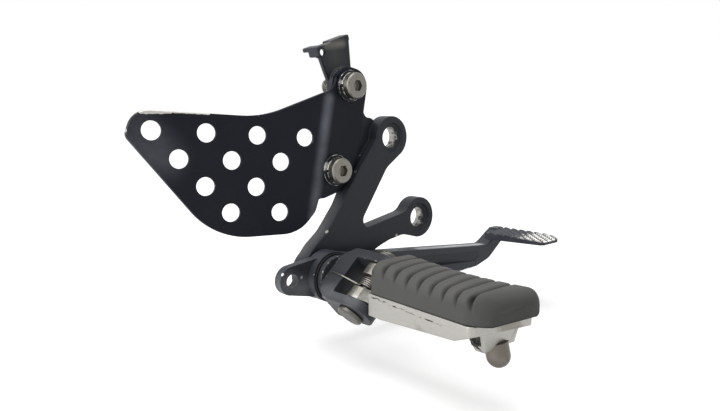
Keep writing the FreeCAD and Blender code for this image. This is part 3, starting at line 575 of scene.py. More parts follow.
# The same paint on the cast pedal, with a painted highlight along the top of the arm and painted light on the
# hub's lower rear edge, and almost white metal where a boot's sole has worn the tops of the toe pad's knurl.
PEDAL_PAINT = SatinPaint(
    "satin_paint_on_cast_pedal", "#25282d", "#3a3d44", bare="#f2f0ec", wear_and_highlight="#b4b6ba",
    chips=(Spot((-75.8, -14.0, -60.2), 1.0), Spot((-65.2, -14.2, -63.4), 0.9)),
    bare_edges=(Streak((38.0, -18.8, -79.0), (60.0, -18.6, -78.2), 1.8),
                Streak((71.5, -57.6, -58.4), (81.0, -57.6, -58.4), 1.8)),
    tops=(WornTops((82.0, -57.0, -58.4), 24.0, -58.4),),
    # painted highlight on the top of the arm, where light from above falls, and painted light on the hub's
    # lower rear edge
    painted_highlights=(Streak((14.0, -15.0, -60.8), (68.0, -15.0, -66.0), 4.0, 1.6),
          Streak((-64.0, -14.2, -69.0), (-73.0, -14.2, -66.0), 9.0, 0.35)))
# The same paint on the cast holder: a greyer film, worn through along many of its edges, with painted light
# along its lower rear side.
HOLDER_PAINT = SatinPaint(
    "satin_paint_on_cast_holder", "#24262a", "#3c3e42", wear=0.6, bare="#9b9993", wear_and_highlight="#8b8c90",
    # painted light: paler film where light from the table below falls on the lower rear side
    painted_highlights=(Streak((-62.0, -46.0, -67.5), (-63.0, -28.0, -66.0), 7.0, 0.5),))
# Blackened spring steel: black faces, with the film scraped off where the washers were turned.
WASHER_STEEL = SatinPaint(
    "blackened_washer_steel", "#191a1c", "#2d2e31", wear=0.95, bare="#b9b7b2",
    chips=(Spot((-42.4, -7.0, -13.0), 3.2), Spot((-32.8, -6.0, 27.5), 1.8)))
# Plated steel gone dull: warm grey metal with darker stains and fine scratches.
PLATED_STEEL = BareMetal("plated_steel", "#7a7771", "#4c4943")
# Turned steel left in the weather: a darker and browner grey than the plated screws.
PIN_STEEL = BareMetal("weathered_pin_steel", "#5c5a56", "#3d3b37")
# Cast aluminium left bare: pale warm metal with broad soft stains, and black scuffs along its rear flank.
TRAY_ALUMINIUM = BareMetal(
    "cast_aluminium", "#a19f9a", "#838079", gloss=0.42, stain=11.0,
    spots=(Spot((-46.0, -121.0, -65.5), 9.0), Spot((-48.5, -43.0, -61.0), 14.0)),
    scribbles=(Streak((-60.6, -57.5, -64.2), (-62.2, -84.0, -65.2), 1.9),
               Streak((-62.4, -87.0, -65.4), (-63.1, -99.0, -65.9), 1.5)))
# Turned steel scraped by the road: a brownish grey with little shine.
FEELER_STEEL = BareMetal("scuffed_feeler_steel", "#6b665f", "#4a453f")
# Drawn spring wire: grey steel with an oily brown cast.
SPRING_WIRE = BareMetal("drawn_spring_wire", "#77746e", "#4a4742")
# Moulded seal rubber: almost black and matt.
SEAL_RUBBER = MouldedRubber("moulded_seal_rubber", "#121213", "#1a1a1b")
# Moulded peg rubber gone grey with use: matt, dusty on top, with near black painted shade down in its
# grooves.
PEG_RUBBER = MouldedRubber("moulded_peg_rubber", "#444443", "#575653")


def linked(name: str, data: bpy.types.ID) -> Object:
    """Make an object and put it in the scene.

    Args:
        name: The object's name.
        data: Its mesh, lamp or camera.

    Returns:
        The object, at the origin.
    """
    thing = bpy.data.objects.new(name, data)
    bpy.context.scene.collection.objects.link(thing)
    return thing


def plain_mesh(source: Object, name: str) -> Object:
    """Turn an object with modifiers into one with a plain mesh, and remove the first.

    Args:
        source: The object to evaluate.
        name: Name of the new object.

    Returns:
        The new object, at the origin.
    """
    graph = bpy.context.evaluated_depsgraph_get()
    mesh = bpy.data.meshes.new_from_object(source.evaluated_get(graph), depsgraph=graph)
    mesh.name = name
    old = source.data
    bpy.data.objects.remove(source)
    if old.users == 0:
        bpy.data.meshes.remove(old)
    return linked(name, mesh)


def coat(thing: Object, material: Material) -> None:
    """Give an object one finish in place of those it has."""
    thing.data.materials.clear()
    thing.data.materials.append(material)


def dress(piece: Object, material: Material, body: Body, slot: str, *nodes: str) -> None:
    """Give a piece its finish and its body, and let it stand for CAD nodes.

    Args:
        piece: The finished piece.
        material: Its finish.
        body: The body that it rides on.
        slot: Name of the piece's material slot; not used.
        *nodes: CAD nodes that it stands for.
    """
    coat(piece, material)
    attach(piece, body.value)
    if nodes:
        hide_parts(*nodes)
    LOG.info("%s: %d faces", piece.name, len(piece.data.polygons))


@dataclass(frozen=True)
class Rounding:
    """How the sharp edges of a CAD node are rounded.

    Attributes:
        radius: Width of the rounding.
        sharp: Least angle of an edge that is rounded, in degrees.
        merge: Gap within which the CAD mesh's points are one.
        flat: Angle up to which its facets are one face, in degrees.
        stray: Share of the radius that a point may lie off the solid.
    """

    radius: float
    sharp: float = 32.0
    merge: float = 0.02
    flat: float = 0.6
    stray: float = 0.6

    def merged(self, node: str) -> bpy.types.Mesh:
        """Copy a CAD node's mesh, with its loose triangles joined to larger faces.

        Args:
            node: The CAD node.

        Returns:
            The new mesh, with two empty material slots: faces and rounded edges.
        """
        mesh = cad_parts[node].data.copy()
        mesh.materials.clear()
        for _ in range(2):
            mesh.materials.append(None)
        form = bmesh.new()
        form.from_mesh(mesh)
        bmesh.ops.remove_doubles(form, verts=form.verts, dist=self.merge * MM)
        bmesh.ops.dissolve_limit(form, angle_limit=math.radians(self.flat), verts=form.verts,
                                 edges=form.edges)
        for face in form.faces:
            face.smooth = True
            face.material_index = 0
        form.to_mesh(mesh)
        form.free()
        return mesh

    def piece(self, node: str, name: str) -> Object:
        """Copy a CAD node with its sharp edges rounded, and mark the rounded faces as rim.

        Args:
            node: The CAD node.
            name: Name of the new piece.

        Returns:
            The new piece.
        """
        rough = linked(name + "_rough", self.merged(node))
        bevel = rough.modifiers.new("round", "BEVEL")
        bevel.width = self.radius * MM
        bevel.segments = 2
        bevel.limit_method = "ANGLE"
        bevel.angle_limit = math.radians(self.sharp)
        bevel.use_clamp_overlap = False
        bevel.material = 1
        rough.modifiers.new("shade", "WEIGHTED_NORMAL").keep_sharp = True
        piece = plain_mesh(rough, name)
        mesh = piece.data
        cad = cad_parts[node].data
        solid = BVHTree.FromPolygons([v.co for v in cad.vertices], [p.vertices for p in cad.polygons])
        for point in mesh.vertices:  # tiny facets between the knurl's grooves can throw a point far out
            seat, _, _, gap = solid.find_nearest(point.co)
            if gap > self.stray * self.radius * MM:
                point.co = seat
        rim = mesh.attributes.new("rim", "FLOAT", "FACE")
        rim.data.foreach_set("value", [float(p.material_index == 1) for p in mesh.polygons])
        mesh.polygons.foreach_set("material_index", [0] * len(mesh.polygons))
        return piece


class SubAssembly:
    """Pieces that follow CAD nodes and ride on one body."""

    def show(self, body: Body, *rows: tuple[str, str, float, Material, str]) -> None:
        """Round the edges of CAD nodes and dress them.

        Args:
            body: The body that the pieces ride on.
            *rows: CAD node, name of the piece, width of its rounding, finish and material slot.
        """
        for node, name, radius, material, slot in rows:
            dress(Rounding(radius).piece(node, name), material, body, slot, node)


@dataclass
class Bracket(SubAssembly):
    """Cast Y bracket with the heel guard that is screwed to its wing.

    Attributes:
        casting: Rounding of the casting.
        sheet: Rounding of the guard.
        screws: Rounding of the guard's screws.
        washers: Rounding of their washers.
    """

    casting: float = 0.7
    sheet: float = 0.45
    screws: float = 0.3
    washers: float = 0.25

    def build(self, steel: Material) -> None:
        """Make the pieces and dress them.

        Args:
            steel: Finish of the screws.
        """
        washer = WASHER_STEEL.material()
        self.show(
            Body.BRACKET,
            ("main_bracket", "bracket_casting", self.casting, BRACKET_PAINT.material(), "bracket_paint"),
            ("heel_guard", "guard_sheet", self.sheet, GUARD_PAINT.material(), "guard_paint"),
            ("heel_guard_screws", "guard_screws", self.screws, steel, "screw_steel"),
            ("heel_guard_lock_washers", "guard_lock_washers", self.washers, washer, "washer_steel"),
            ("heel_guard_washers", "guard_washers", self.washers, washer, "washer_steel"))


@dataclass
class Holder(SubAssembly):
    """Clevis that holds the peg, with its bolt, the pedal's dust seals and the hinge pin.

    Attributes:
        clevis: Rounding of the clevis.
        bolt: Rounding of its bolt.
        washer: Rounding of the bolt's washer.
        inner_seal: Rounding of the seal on the bracket's side.
        outer_seal: Rounding of the seal on the peg's side.
        pin: Rounding of the pin.
        clip: Rounding of the pin's washer and clip.
    """

    clevis: float = 0.6
    bolt: float = 0.4
    washer: float = 0.25
    inner_seal: float = 0.2
    outer_seal: float = 0.3
    pin: float = 0.5
    clip: float = 0.2

    def build(self, steel: Material) -> None:
        """Make the pieces and dress them.

        Args:
            steel: Finish of the bolt and its washer.
        """
        seal, dark = SEAL_RUBBER.material(), PIN_STEEL.material()
        self.show(
            Body.BRACKET,
            ("peg_holder", "holder_clevis", self.clevis, HOLDER_PAINT.material(), "holder_paint"),
            ("holder_bolt", "holder_hex_bolt", self.bolt, steel, "bolt_steel"),
            ("holder_washer", "holder_flat_washer", self.washer, steel, "bolt_steel"),
            ("pedal_inner_seal", "inner_dust_seal", self.inner_seal, seal, "seal_rubber"),
            ("pedal_outer_seal", "outer_dust_seal", self.outer_seal, seal, "seal_rubber"),
            ("hinge_pin", "clevis_pin", self.pin, dark, "pin_steel"),
            ("pin_washer", "clevis_washer", self.clip, dark, "pin_steel"),
            ("pin_clip", "clevis_clip", self.clip, dark, "pin_steel"))


@dataclass
class Pedal(SubAssembly):
    """Brake pedal with its bush, which is shown as the CAD gives it.

    Attributes:
        casting: Rounding of the casting, small because the knurl on its toe pad is fine.
    """

    casting: float = 0.22

    def build(self, steel: Material) -> None:
        """Make the pieces and dress them.

        Args:
            steel: Finish of the bush.
        """
        paint = PEDAL_PAINT.material()
        self.show(Body.PEDAL, ("brake_pedal", "pedal_casting", self.casting, paint, "pedal_paint"))
        coat(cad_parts["pedal_bush"], steel)


@dataclass
class Peg(SubAssembly):
    """Cast tray of the folding peg, with its feeler, the cover's screws and the plate in the cover.

    Attributes:
        tray: Rounding of the tray.
        feeler: Rounding of the feeler stud.
        screws: Rounding of the cover's screws.
    """

    tray: float = 0.4
    feeler: float = 0.4
    screws: float = 0.25

    def build(self, steel: Material) -> None:
        """Make the pieces and dress them.

        Args:
            steel: Finish of the screws and of the plate, which is shown as the CAD gives it.
        """
        self.show(
            Body.PEG,
            ("footpeg", "peg_tray", self.tray, TRAY_ALUMINIUM.material(), "peg_aluminium"),
            ("bank_feeler", "feeler_stud", self.feeler, FEELER_STEEL.material(), "feeler_steel"),
            ("rubber_screws", "cover_screws", self.screws, steel, "bolt_steel"))
        coat(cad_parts["rubber_plate"], steel)


class Tree:
    """A Geometry Nodes tree with named inputs.

    Attributes:
        sizes: The named inputs with their values.
        tree: The node tree.
        inputs: The group's input node.
        outputs: The group's output node.
    """

    def __init__(self, name: str, sizes: dict[str, float]) -> None:
        """Make the tree.

        Args:
            name: The tree's name.
            sizes: Named inputs with their values.
        """
        self.sizes = sizes
        self.tree = bpy.data.node_groups.new(name, "GeometryNodeTree")
        face = self.tree.interface
        for way in ("INPUT", "OUTPUT"):
            face.new_socket("Geometry", in_out=way, socket_type="NodeSocketGeometry")
        for key in sizes:
            face.new_socket(key, in_out="INPUT", socket_type="NodeSocketFloat")
        self.inputs = self.tree.nodes.new("NodeGroupInput")
        self.outputs = self.tree.nodes.new("NodeGroupOutput")

    def size(self, name: str) -> bpy.types.NodeSocket:
        """Socket of a named input, or of what the tree starts from."""
        return self.inputs.outputs[name]

    def add(self, kind: Kind, inputs: dict | tuple = ()) -> Node:
        """Add a node to this tree."""
        return add(self.tree, kind, inputs)

    def finish(self, geometry: Source, material: Material) -> None:
        """End the tree in plain geometry with a material.

        Args:
            geometry: What the tree made.
            material: Its finish.
        """
        real = self.add(Kind.REALIZE, (geometry,))
        feed(self.outputs, (self.add(Kind.SET_MATERIAL, {"Geometry": real, "Material": material}),))

    def grow(self, name: str, mesh: bpy.types.Mesh | None = None) -> Object:
        """Run the tree and keep its result as a plain mesh.

        Args:
            name: Name of the new piece.
            mesh: What the tree starts from.

        Returns:
            The new piece.
        """
        seed = linked(name + "_seed", mesh or bpy.data.meshes.new(name + "_seed"))
        modifier = seed.modifiers.new("grow", "NODES")
        modifier.node_group = self.tree
        for item in self.tree.interface.items_tree:
            if item.in_out == "INPUT" and item.name in self.sizes:
                modifier[item.identifier] = float(self.sizes[item.name])
        return plain_mesh(seed, name)


@dataclass
class RubberCover:
    """Ribbed rubber on the peg: a block with a rounded crown and nine grooves that fade down its sides.

    Attributes:
        axis_x: Middle of the peg.
        in_y: Hinge end.
        half_in: Half width at the hinge end.
        rear: Rear corner of the outer end, X and Y.
        front: Front corner of the outer end, X and Y.
        bow: How far the outer end bows out between its corners.
        bow_from: Share of the length at which the bow begins.
        foot_z: Underside.
        crown_z: Crown at the hinge end.
        fall: Slope of the crown, in degrees.
        hump: How far the crown falls to its sides halfway along.
        edge: Radius of the crown's edges.
        end_edge: Radius of its outer end.
        end_drop: Share of that radius by which the crown drops there.
        corner: Radius of the outer corners.
        in_edge: Radius of the crown's hinge end.
        in_drop: Share of that radius by which the crown drops there.
        in_corner: Radius of the corners there.
        lift: Height that the front corner stands clear by.
        lift_y: Where the underside starts to lift.
        lift_run: Length over which it lifts.
        lift_span: Shares of the width, from the rear, between which it lifts.
        least_side: Least height of a section's straight side.
        least_top: Least half width of a section's crown.
        count: Number of grooves.
        first_y: Place of the first groove.
        pitch: Distance between grooves.
        arc: Radius of a groove's curve across the peg.
        groove: Share of the pitch that a groove takes.
        tail: Share of its width that is left where it fades out.
        wall: Share of the pitch that its steep wall takes.
        depth: Depth of a groove on the shoulders.
        crown_share: Share of that depth on top of the crown.
        shoulder: Depth under the crown at which a groove has its full depth.
        fade: Depths under the crown between which a groove ends.
        sag: Power that hollows a groove's ramp.
        shade: How dark the painted shade in a groove's bottom is, from 0 to 1.
        shade_narrow: Power that keeps the dark close to the wall.
        shade_fade: Power with which the dark fades out.
        foot_line: Height of the painted shade line along the underside, where the rubber meets the tray.
        foot_shade: How dark that line is, from 0 to 1.
        across: Faces in a section.
        along: Sections.
        crowding: How much closer the sections lie at the outer end.
        merge: Gap within which points are one.
    """

    axis_x: float = -48.5
    in_y: float = -56.0
    half_in: float = 12.05
    rear: tuple[float, float] = (-63.6, -114.2)
    front: tuple[float, float] = (-33.8, -124.7)
    bow: float = 3.6
    bow_from: float = 0.55
    foot_z: float = -62.95
    crown_z: float = -48.0
    fall: float = 2.6
    hump: float = 3.0
    edge: float = 4.4
    end_edge: float = 5.6
    end_drop: float = 0.86
    corner: float = 6.2
    in_edge: float = 5.0
    in_drop: float = 0.8
    in_corner: float = 2.4
    lift: float = 3.2
    lift_y: float = -114.6
    lift_run: float = 1.2
    lift_span: tuple[float, float] = (0.65, 0.9)
    least_side: float = 0.6
    least_top: float = 0.2
    count: int = 9
    first_y: float = -59.5
    pitch: float = 6.8
    arc: float = 60.0
    groove: float = 0.42
    tail: float = 0.3
    wall: float = 0.1
    depth: float = 2.0
    crown_share: float = 0.4
    shoulder: float = 2.4
    fade: tuple[float, float] = (2.0, 8.2)
    sag: float = 1.5
    shade: float = 0.9
    shade_narrow: float = 2.6
    shade_fade: float = 0.5
    foot_line: float = 0.7
    foot_shade: float = 0.9
    across: int = 150
    along: int = 330
    crowding: float = 1.35
    merge: float = 0.004

    def section(self, part: float) -> list[Vector]:
        """Points of one section, from the rear foot over the crown to the front foot.

        Args:
            part: Place along the peg, 0 at the hinge end and 1 at the outer end.

        Returns:
            The points.
        """
        left = Vector((self.axis_x - self.half_in, self.in_y)).lerp(Vector(self.rear), part)
        right = Vector((self.axis_x + self.half_in, self.in_y)).lerp(Vector(self.front), part)
        length = abs(((Vector(self.rear) + Vector(self.front)) / 2).y - self.in_y)
        outer, inner = length * (1 - part), length * part
        inset = self.rounded(self.corner, outer) + self.rounded(self.in_corner, inner)
        drop = max(self.rounded(self.end_edge, outer) * self.end_drop,
                   self.rounded(self.in_edge, inner) * self.in_drop)
        half = (right - left).length / 2
        top_round = min(self.edge, half - inset)
        bowed = self.bow * max(0.0, part - self.bow_from) / (1 - self.bow_from)
        points = []
        for i in range(self.across + 1):
            across, depth = self.profile(i / self.across, half - inset, top_round, drop)
            spot = left.lerp(right, 0.5 + across / (2 * half))
            bow = bowed * (1 - min(1.0, (across / half) ** 2))
            fallen = self.hump * math.sin(math.pi * part) * (across / half) ** 2
            crown = self.crown_z - math.tan(math.radians(self.fall)) * (self.in_y - spot.y) - fallen
            foot = self.foot_z + self.raised(spot)
            points.append(Vector((spot.x, spot.y - bow, max(foot, crown - depth))) * MM)
        return points

    @staticmethod
    def rounded(radius: float, gap: float) -> float:
        """How far a rounding falls back at a distance from the end that it rounds."""
        return radius - math.sqrt(max(0.0, radius ** 2 - max(0.0, radius - gap) ** 2))

    def raised(self, spot: Vector) -> float:
        """How far the underside stands clear of the tray at a place.

        Args:
            spot: The place, X and Y.

        Returns:
            The height.
        """
        share = (spot.x - self.rear[0]) / (self.front[0] - self.rear[0])
        start, end = self.lift_span
        out = min(1.0, max(0.0, (self.lift_y - spot.y) / self.lift_run))
        return self.lift * out * min(1.0, max(0.0, (share - start) / (end - start)))

    def profile(self, part: float, half: float, rounding: float, drop: float) -> tuple[float, float]:
        """One point of a section: up the side, round the edge, over the crown and down again.

        Args:
            part: Place along the section, from 0 to 1.
            half: Half width of the section.
            rounding: Radius of its upper edges.
            drop: Height by which its crown is lowered.

        Returns:
            Place across, and depth under the crown.
        """
        height = self.crown_z - self.foot_z
        straight = max(self.least_side, height - rounding - drop)
        runs = (straight, rounding * math.pi / 2, max(self.least_top, half - rounding))
        side = -1 if part < 0.5 else 1
        travel = (1 - abs(2 * part - 1)) * sum(runs)
        if travel <= runs[0]:
            return side * half, drop + rounding + (1 - travel / runs[0]) * (height - rounding - drop)
        travel -= runs[0]
        if travel <= runs[1]:
            turn = travel / rounding
            across = half - rounding + rounding * math.cos(turn)
            return side * across, drop + rounding * (1 - math.sin(turn))
        travel -= runs[1]
        return side * (half - rounding) * (1 - min(1.0, travel / runs[2])), drop

    def block(self) -> bpy.types.Mesh:
        """Make the smooth block without its ribs.

        Returns:
            Its mesh.
        """
        form = bmesh.new()
        rows = []
        for j in range(self.along + 1):
            part = 1 - (1 - j / self.along) ** self.crowding
            rows.append([form.verts.new(p) for p in self.section(part)])
        for near, far in zip(rows, rows[1:]):
            for i in range(self.across):
                form.faces.new((near[i], near[i + 1], far[i + 1], far[i]))
            form.faces.new((near[-1], near[0], far[0], far[-1]))
        form.faces.new(rows[0][::-1])
        form.faces.new(rows[-1])
        bmesh.ops.remove_doubles(form, verts=form.verts, dist=self.merge * MM)
        bmesh.ops.recalc_face_normals(form, faces=form.faces)
        for face in form.faces:
            face.smooth = len(face.verts) == 4
        mesh = bpy.data.meshes.new("rubber_block")
        form.to_mesh(mesh)
        form.free()
        return mesh

    def rib_tree(self, material: Material) -> Tree:
        """Tree that presses the grooves into the block.

        Args:
            material: The rubber.

        Returns:
            The tree.
        """
        t = Tree("curved_ribs", {
            "Axis X": self.axis_x * MM, "First Y": self.first_y * MM, "Pitch": self.pitch * MM,
            "Arc Radius": self.arc * MM, "Groove Share": self.groove, "Wall Share": self.wall,
            "Depth": self.depth * MM, "Crown Share": self.crown_share, "Shoulder": self.shoulder * MM,
            "Shade": self.shade, "Count": self.count, "Crown Z": self.crown_z * MM,
            "Crown Slope": math.tan(math.radians(self.fall)), "Fade From": self.fade[0] * MM,
            "Fade To": self.fade[1] * MM, "Hinge Y": self.in_y * MM, "Foot Z": self.foot_z * MM,
            "Foot Line": self.foot_line * MM})
        place = t.add(Kind.SPLIT, (t.add(Kind.POSITION),)).outputs
        # Distance from the nearest groove's steep wall, in pitches.
        from_axis = t.add(Kind.SUBTRACT, (place["X"], t.size("Axis X")))
        side = t.add(Kind.MULTIPLY, (from_axis, from_axis))
        long = t.add(Kind.MULTIPLY, (t.size("Arc Radius"), t.size("Arc Radius")))
        rest = t.add(Kind.MAXIMUM, (t.add(Kind.SUBTRACT, (long, side)), 0.0))
        root = t.add(Kind.SQRT, (rest,))
        sag = t.add(Kind.SUBTRACT, (t.size("Arc Radius"), root))
        line = t.add(Kind.SUBTRACT, (place["Y"], sag))
        way = t.add(Kind.SUBTRACT, (t.size("First Y"), line))
        steps = t.add(Kind.DIVIDE, (way, t.size("Pitch")))
        near = t.add(Kind.SUBTRACT, (steps, t.add(Kind.ROUND, (steps,))))
        # Depth under the crown, and how far the grooves have faded there.
        inward = t.add(Kind.SUBTRACT, (t.size("Hinge Y"), place["Y"]))
        fallen = t.add(Kind.MULTIPLY, (t.size("Crown Slope"), inward))
        crown = t.add(Kind.SUBTRACT, (t.size("Crown Z"), fallen))
        under = t.add(Kind.SUBTRACT, (crown, place["Z"]))
        fade = t.add(Kind.SMOOTH, {"Value": under, "From Min": t.size("Fade From"),
                                   "From Max": t.size("Fade To"), "To Min": 1.0, "To Max": 0.0})
        # A groove's section: a long ramp down, which ends just short of the wall, and a steep wall up.
        width = t.add(Kind.MULTIPLY_ADD, (fade, self.tail - 1, -self.tail))
        taper = t.add(Kind.MULTIPLY, (t.size("Groove Share"), width))
        ramp = t.add(Kind.SMOOTH, {"Value": near, "From Min": taper, "From Max": -0.01})
        wall = t.add(Kind.SMOOTH, {"Value": near, "From Min": 0.0, "From Max": t.size("Wall Share"),
                                   "To Min": 1.0, "To Max": 0.0})
        # Grooves are held between half a pitch before the first and half a pitch after the last.
        first = t.add(Kind.GREATER_THAN, (steps, -0.5))
        beyond = t.add(Kind.SUBTRACT, (t.size("Count"), 0.5))
        last = t.add(Kind.LESS_THAN, (steps, beyond))
        ribbed = t.add(Kind.MULTIPLY, (first, last))
        held = t.add(Kind.MULTIPLY, (ribbed, fade))
        hollow = t.add(Kind.MULTIPLY, (t.add(Kind.POWER, (ramp, self.sag)), wall))
        share = t.add(Kind.MULTIPLY, (held, hollow))
        full = t.add(Kind.SMOOTH, {"Value": under, "From Max": t.size("Shoulder"),
                                   "To Min": t.size("Crown Share"), "To Max": 1.0})
        deep = t.add(Kind.MULTIPLY, (t.size("Depth"), full))
        inwards = t.add(Kind.MULTIPLY, (t.add(Kind.MULTIPLY, (share, deep)), -1.0))
        push = t.add(Kind.SCALE, {0: t.add(Kind.NORMAL), "Scale": inwards})
        # Painted shade: the bottoms of the grooves, and a line along the foot where the rubber meets the
        # tray.
        bottom = t.add(Kind.MULTIPLY, (t.add(Kind.POWER, (ramp, self.shade_narrow)), wall))
        spread = t.add(Kind.MULTIPLY, (t.add(Kind.POWER, (held, self.shade_fade)), bottom))
        dark = t.add(Kind.MULTIPLY, (spread, t.size("Shade")))
        above = t.add(Kind.SUBTRACT, (place["Z"], t.size("Foot Z")))
        lines = t.add(Kind.DIVIDE, (above, t.size("Foot Line")))
        foot = t.add(Kind.MULTIPLY, (t.add(Kind.SUBTRACT, (1.0, lines)), self.foot_shade))
        mark = t.add(Kind.MAXIMUM, (dark, foot))
        marked = t.add(Kind.STORE, {"Geometry": t.size("Geometry"), "Value": mark, "Name": "groove"})
        t.finish(t.add(Kind.MOVE, {"Geometry": marked, "Offset": push}), material)
        return t

    def build(self) -> None:
        """Make the cover and dress it."""
        material = PEG_RUBBER.material()
        piece = self.rib_tree(material).grow("ribbed_cover", self.block())
        dress(piece, material, Body.PEG, "peg_rubber", "peg_rubber")


@dataclass
class FoldSpring:
    """Torsion spring on the hinge pin: a close coil, a leg under the peg and one hooked on the holder.

    The coil turns with the peg about its own axis, and the hook stays with the holder.

    Attributes:
        hinge: Middle of the pin.
        tilt: Slope of the pin, in degrees.
        wire: Radius of the wire.
        coil: Radius of the coil.
        turns: Number of turns.
        half_width: Half the width of the coil.
        leg: Length of the leg under the peg.
        bend: Radius of the hook's bends.
        hook: Points of the hooked leg: along the pin, inboard from it, and above it.
    """

    hinge: Point = (-48.5, -43.0, -65.4)
    tilt: float = 42.0
    wire: float = 0.44
    coil: float = 4.9
    turns: float = 5.0
    half_width: float = 2.35
    leg: float = 11.0
    bend: float = 3.0
    hook: tuple[Point, ...] = ((-2.3, 0.0, 4.9), (-2.3, 2.4, 5.0), (-1.9, 11.2, 7.9), (-1.2, 19.4, 7.9))

    def build(self) -> None:
        """Make the spring and dress it."""
        material = SPRING_WIRE.material()
        self.build_coil(material)
        self.build_hook(material)

    def drawn(self, t: Tree, curve: Source) -> Node:
        """Draw the wire along a curve.

        Args:
            t: The tree.
            curve: Middle of the wire.

        Returns:
            Its mesh.
        """
        section = t.add(Kind.CIRCLE, {"Radius": t.size("Wire Radius"), "Resolution": 12})
        return t.add(Kind.SWEEP, {"Curve": curve, "Profile Curve": section, "Fill Caps": True})

    def build_coil(self, material: Material) -> None:
        """Make the coil with the leg that rests under the peg.

        Args:
            material: The wire.
        """
        t = Tree("coil_spring", {
            "Wire Radius": self.wire * MM, "Coil Radius": self.coil * MM, "Turns": self.turns,
            "Half Width": self.half_width * MM, "Leg": self.leg * MM})
        ring, half = t.size("Coil Radius"), t.size("Half Width")
        height = t.add(Kind.MULTIPLY, (half, 2.0))
        coil = t.add(Kind.SPIRAL, {"Rotations": t.size("Turns"), "Start Radius": ring, "End Radius": ring,
                                   "Height": height, "Resolution": 40})
        back, low, out = (t.add(Kind.MULTIPLY, (size, -1.0))
                          for size in (ring, half, t.size("Leg")))
        turned = t.add(Kind.TRANSFORM, {"Geometry": coil, "Translation": t.add(Kind.UNITE, {"Z": low}),
                                        "Rotation": (0.0, 0.0, math.pi)})
        start = t.add(Kind.UNITE, {"X": back, "Z": half})
        tip = t.add(Kind.UNITE, {"X": back, "Y": out, "Z": half})
        leg = t.add(Kind.LINE, {"Start": start, "End": tip})
        wire = self.drawn(t, t.add(Kind.JOIN, {0: [turned, leg]}))
        t.finish(t.add(Kind.TRANSFORM, {"Geometry": wire, "Translation": Vector(self.hinge) * MM,
                                        "Rotation": (0.0, math.radians(90.0 - self.tilt), 0.0)}), material)
        dress(t.grow("hinge_torsion_spring"), material, Body.PEG, "spring_steel", "fold_spring")

    def build_hook(self, material: Material) -> None:
        """Make the leg that rests on the holder.

        Args:
            material: The wire.
        """
        tilt = math.radians(self.tilt)
        along = Vector((math.cos(tilt), 0, math.sin(tilt)))
        above = Vector((-math.sin(tilt), 0, math.cos(tilt)))
        inboard = Vector((0, 1, 0))
        points = [(Vector(self.hinge) + along * a + inboard * i + above * h) * MM for a, i, h in self.hook]
        line = bpy.data.meshes.new("hook_line")
        line.from_pydata(points, [(i, i + 1) for i in range(len(points) - 1)], [])
        t = Tree("spring_hook", {"Wire Radius": self.wire * MM, "Bend": self.bend * MM})
        curve = t.add(Kind.TO_CURVE, {"Mesh": t.size("Geometry")})
        bent = t.add(Kind.FILLET, {"Curve": curve, "Radius": t.size("Bend"), "Count": 8,
                                   "Limit Radius": True})
        t.finish(self.drawn(t, bent), material)
        dress(t.grow("spring_hook", line), material, Body.BRACKET, "spring_steel")


@dataclass
class ScrewThreads:
    """Rolled threads on the inboard ends of the guard screws.

    Attributes:
        axes: X and Z of each screw.
        inset: Gap between the thread and the screw's end.
        radius: Radius of the thread.
        pitch: Pitch of the thread.
        turns: Number of turns.
        ridge: Half the height of its ridge.
    """

    axes: tuple[tuple[float, float], ...] = ((-26.6, 26.3), (-36.3, -15.3))
    inset: float = 0.8
    radius: float = 3.9
    pitch: float = 1.25
    turns: float = 7.0
    ridge: float = 0.55

    def build(self, steel: Material) -> None:
        """Make the threads and dress them.

        Args:
            steel: Finish of the screws.
        """
        t = Tree("screw_threads", {"Thread Radius": self.radius * MM, "Pitch": self.pitch * MM,
                                   "Turns": self.turns, "Ridge": self.ridge * MM})
        ring = t.size("Thread Radius")
        height = t.add(Kind.MULTIPLY, (t.size("Pitch"), t.size("Turns")))
        helix = t.add(Kind.SPIRAL, {"Rotations": t.size("Turns"), "Start Radius": ring, "End Radius": ring,
                                    "Height": height, "Resolution": 36})
        ridge = t.add(Kind.CIRCLE, {"Radius": t.size("Ridge"), "Resolution": 4})
        thread = t.add(Kind.SWEEP, {"Curve": helix, "Profile Curve": ridge, "Fill Caps": True})
        points = t.add(Kind.TO_POINTS, {"Mesh": t.size("Geometry")})
        t.finish(t.add(Kind.COPIES, {"Points": points, "Instance": thread,
                                     "Rotation": (math.pi / 2, 0.0, 0.0)}), steel)
        end = max(corner[1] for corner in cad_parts["heel_guard_screws"].bound_box)
        tips = bpy.data.meshes.new("screw_tips")
        tips.from_pydata([(x * MM, end - self.inset * MM, z * MM) for x, z in self.axes], [], [])
        dress(t.grow("guard_screw_threads", tips), steel, Body.BRACKET, "screw_steel")


@dataclass(frozen=True)
class Lamp:
    """One soft round lamp.

    Attributes:
        name: The lamp's name.
        at: Its place.
        size: Its width.
        power: Its power in watts.
    """

    name: str
    at: Point
    size: float
    power: float


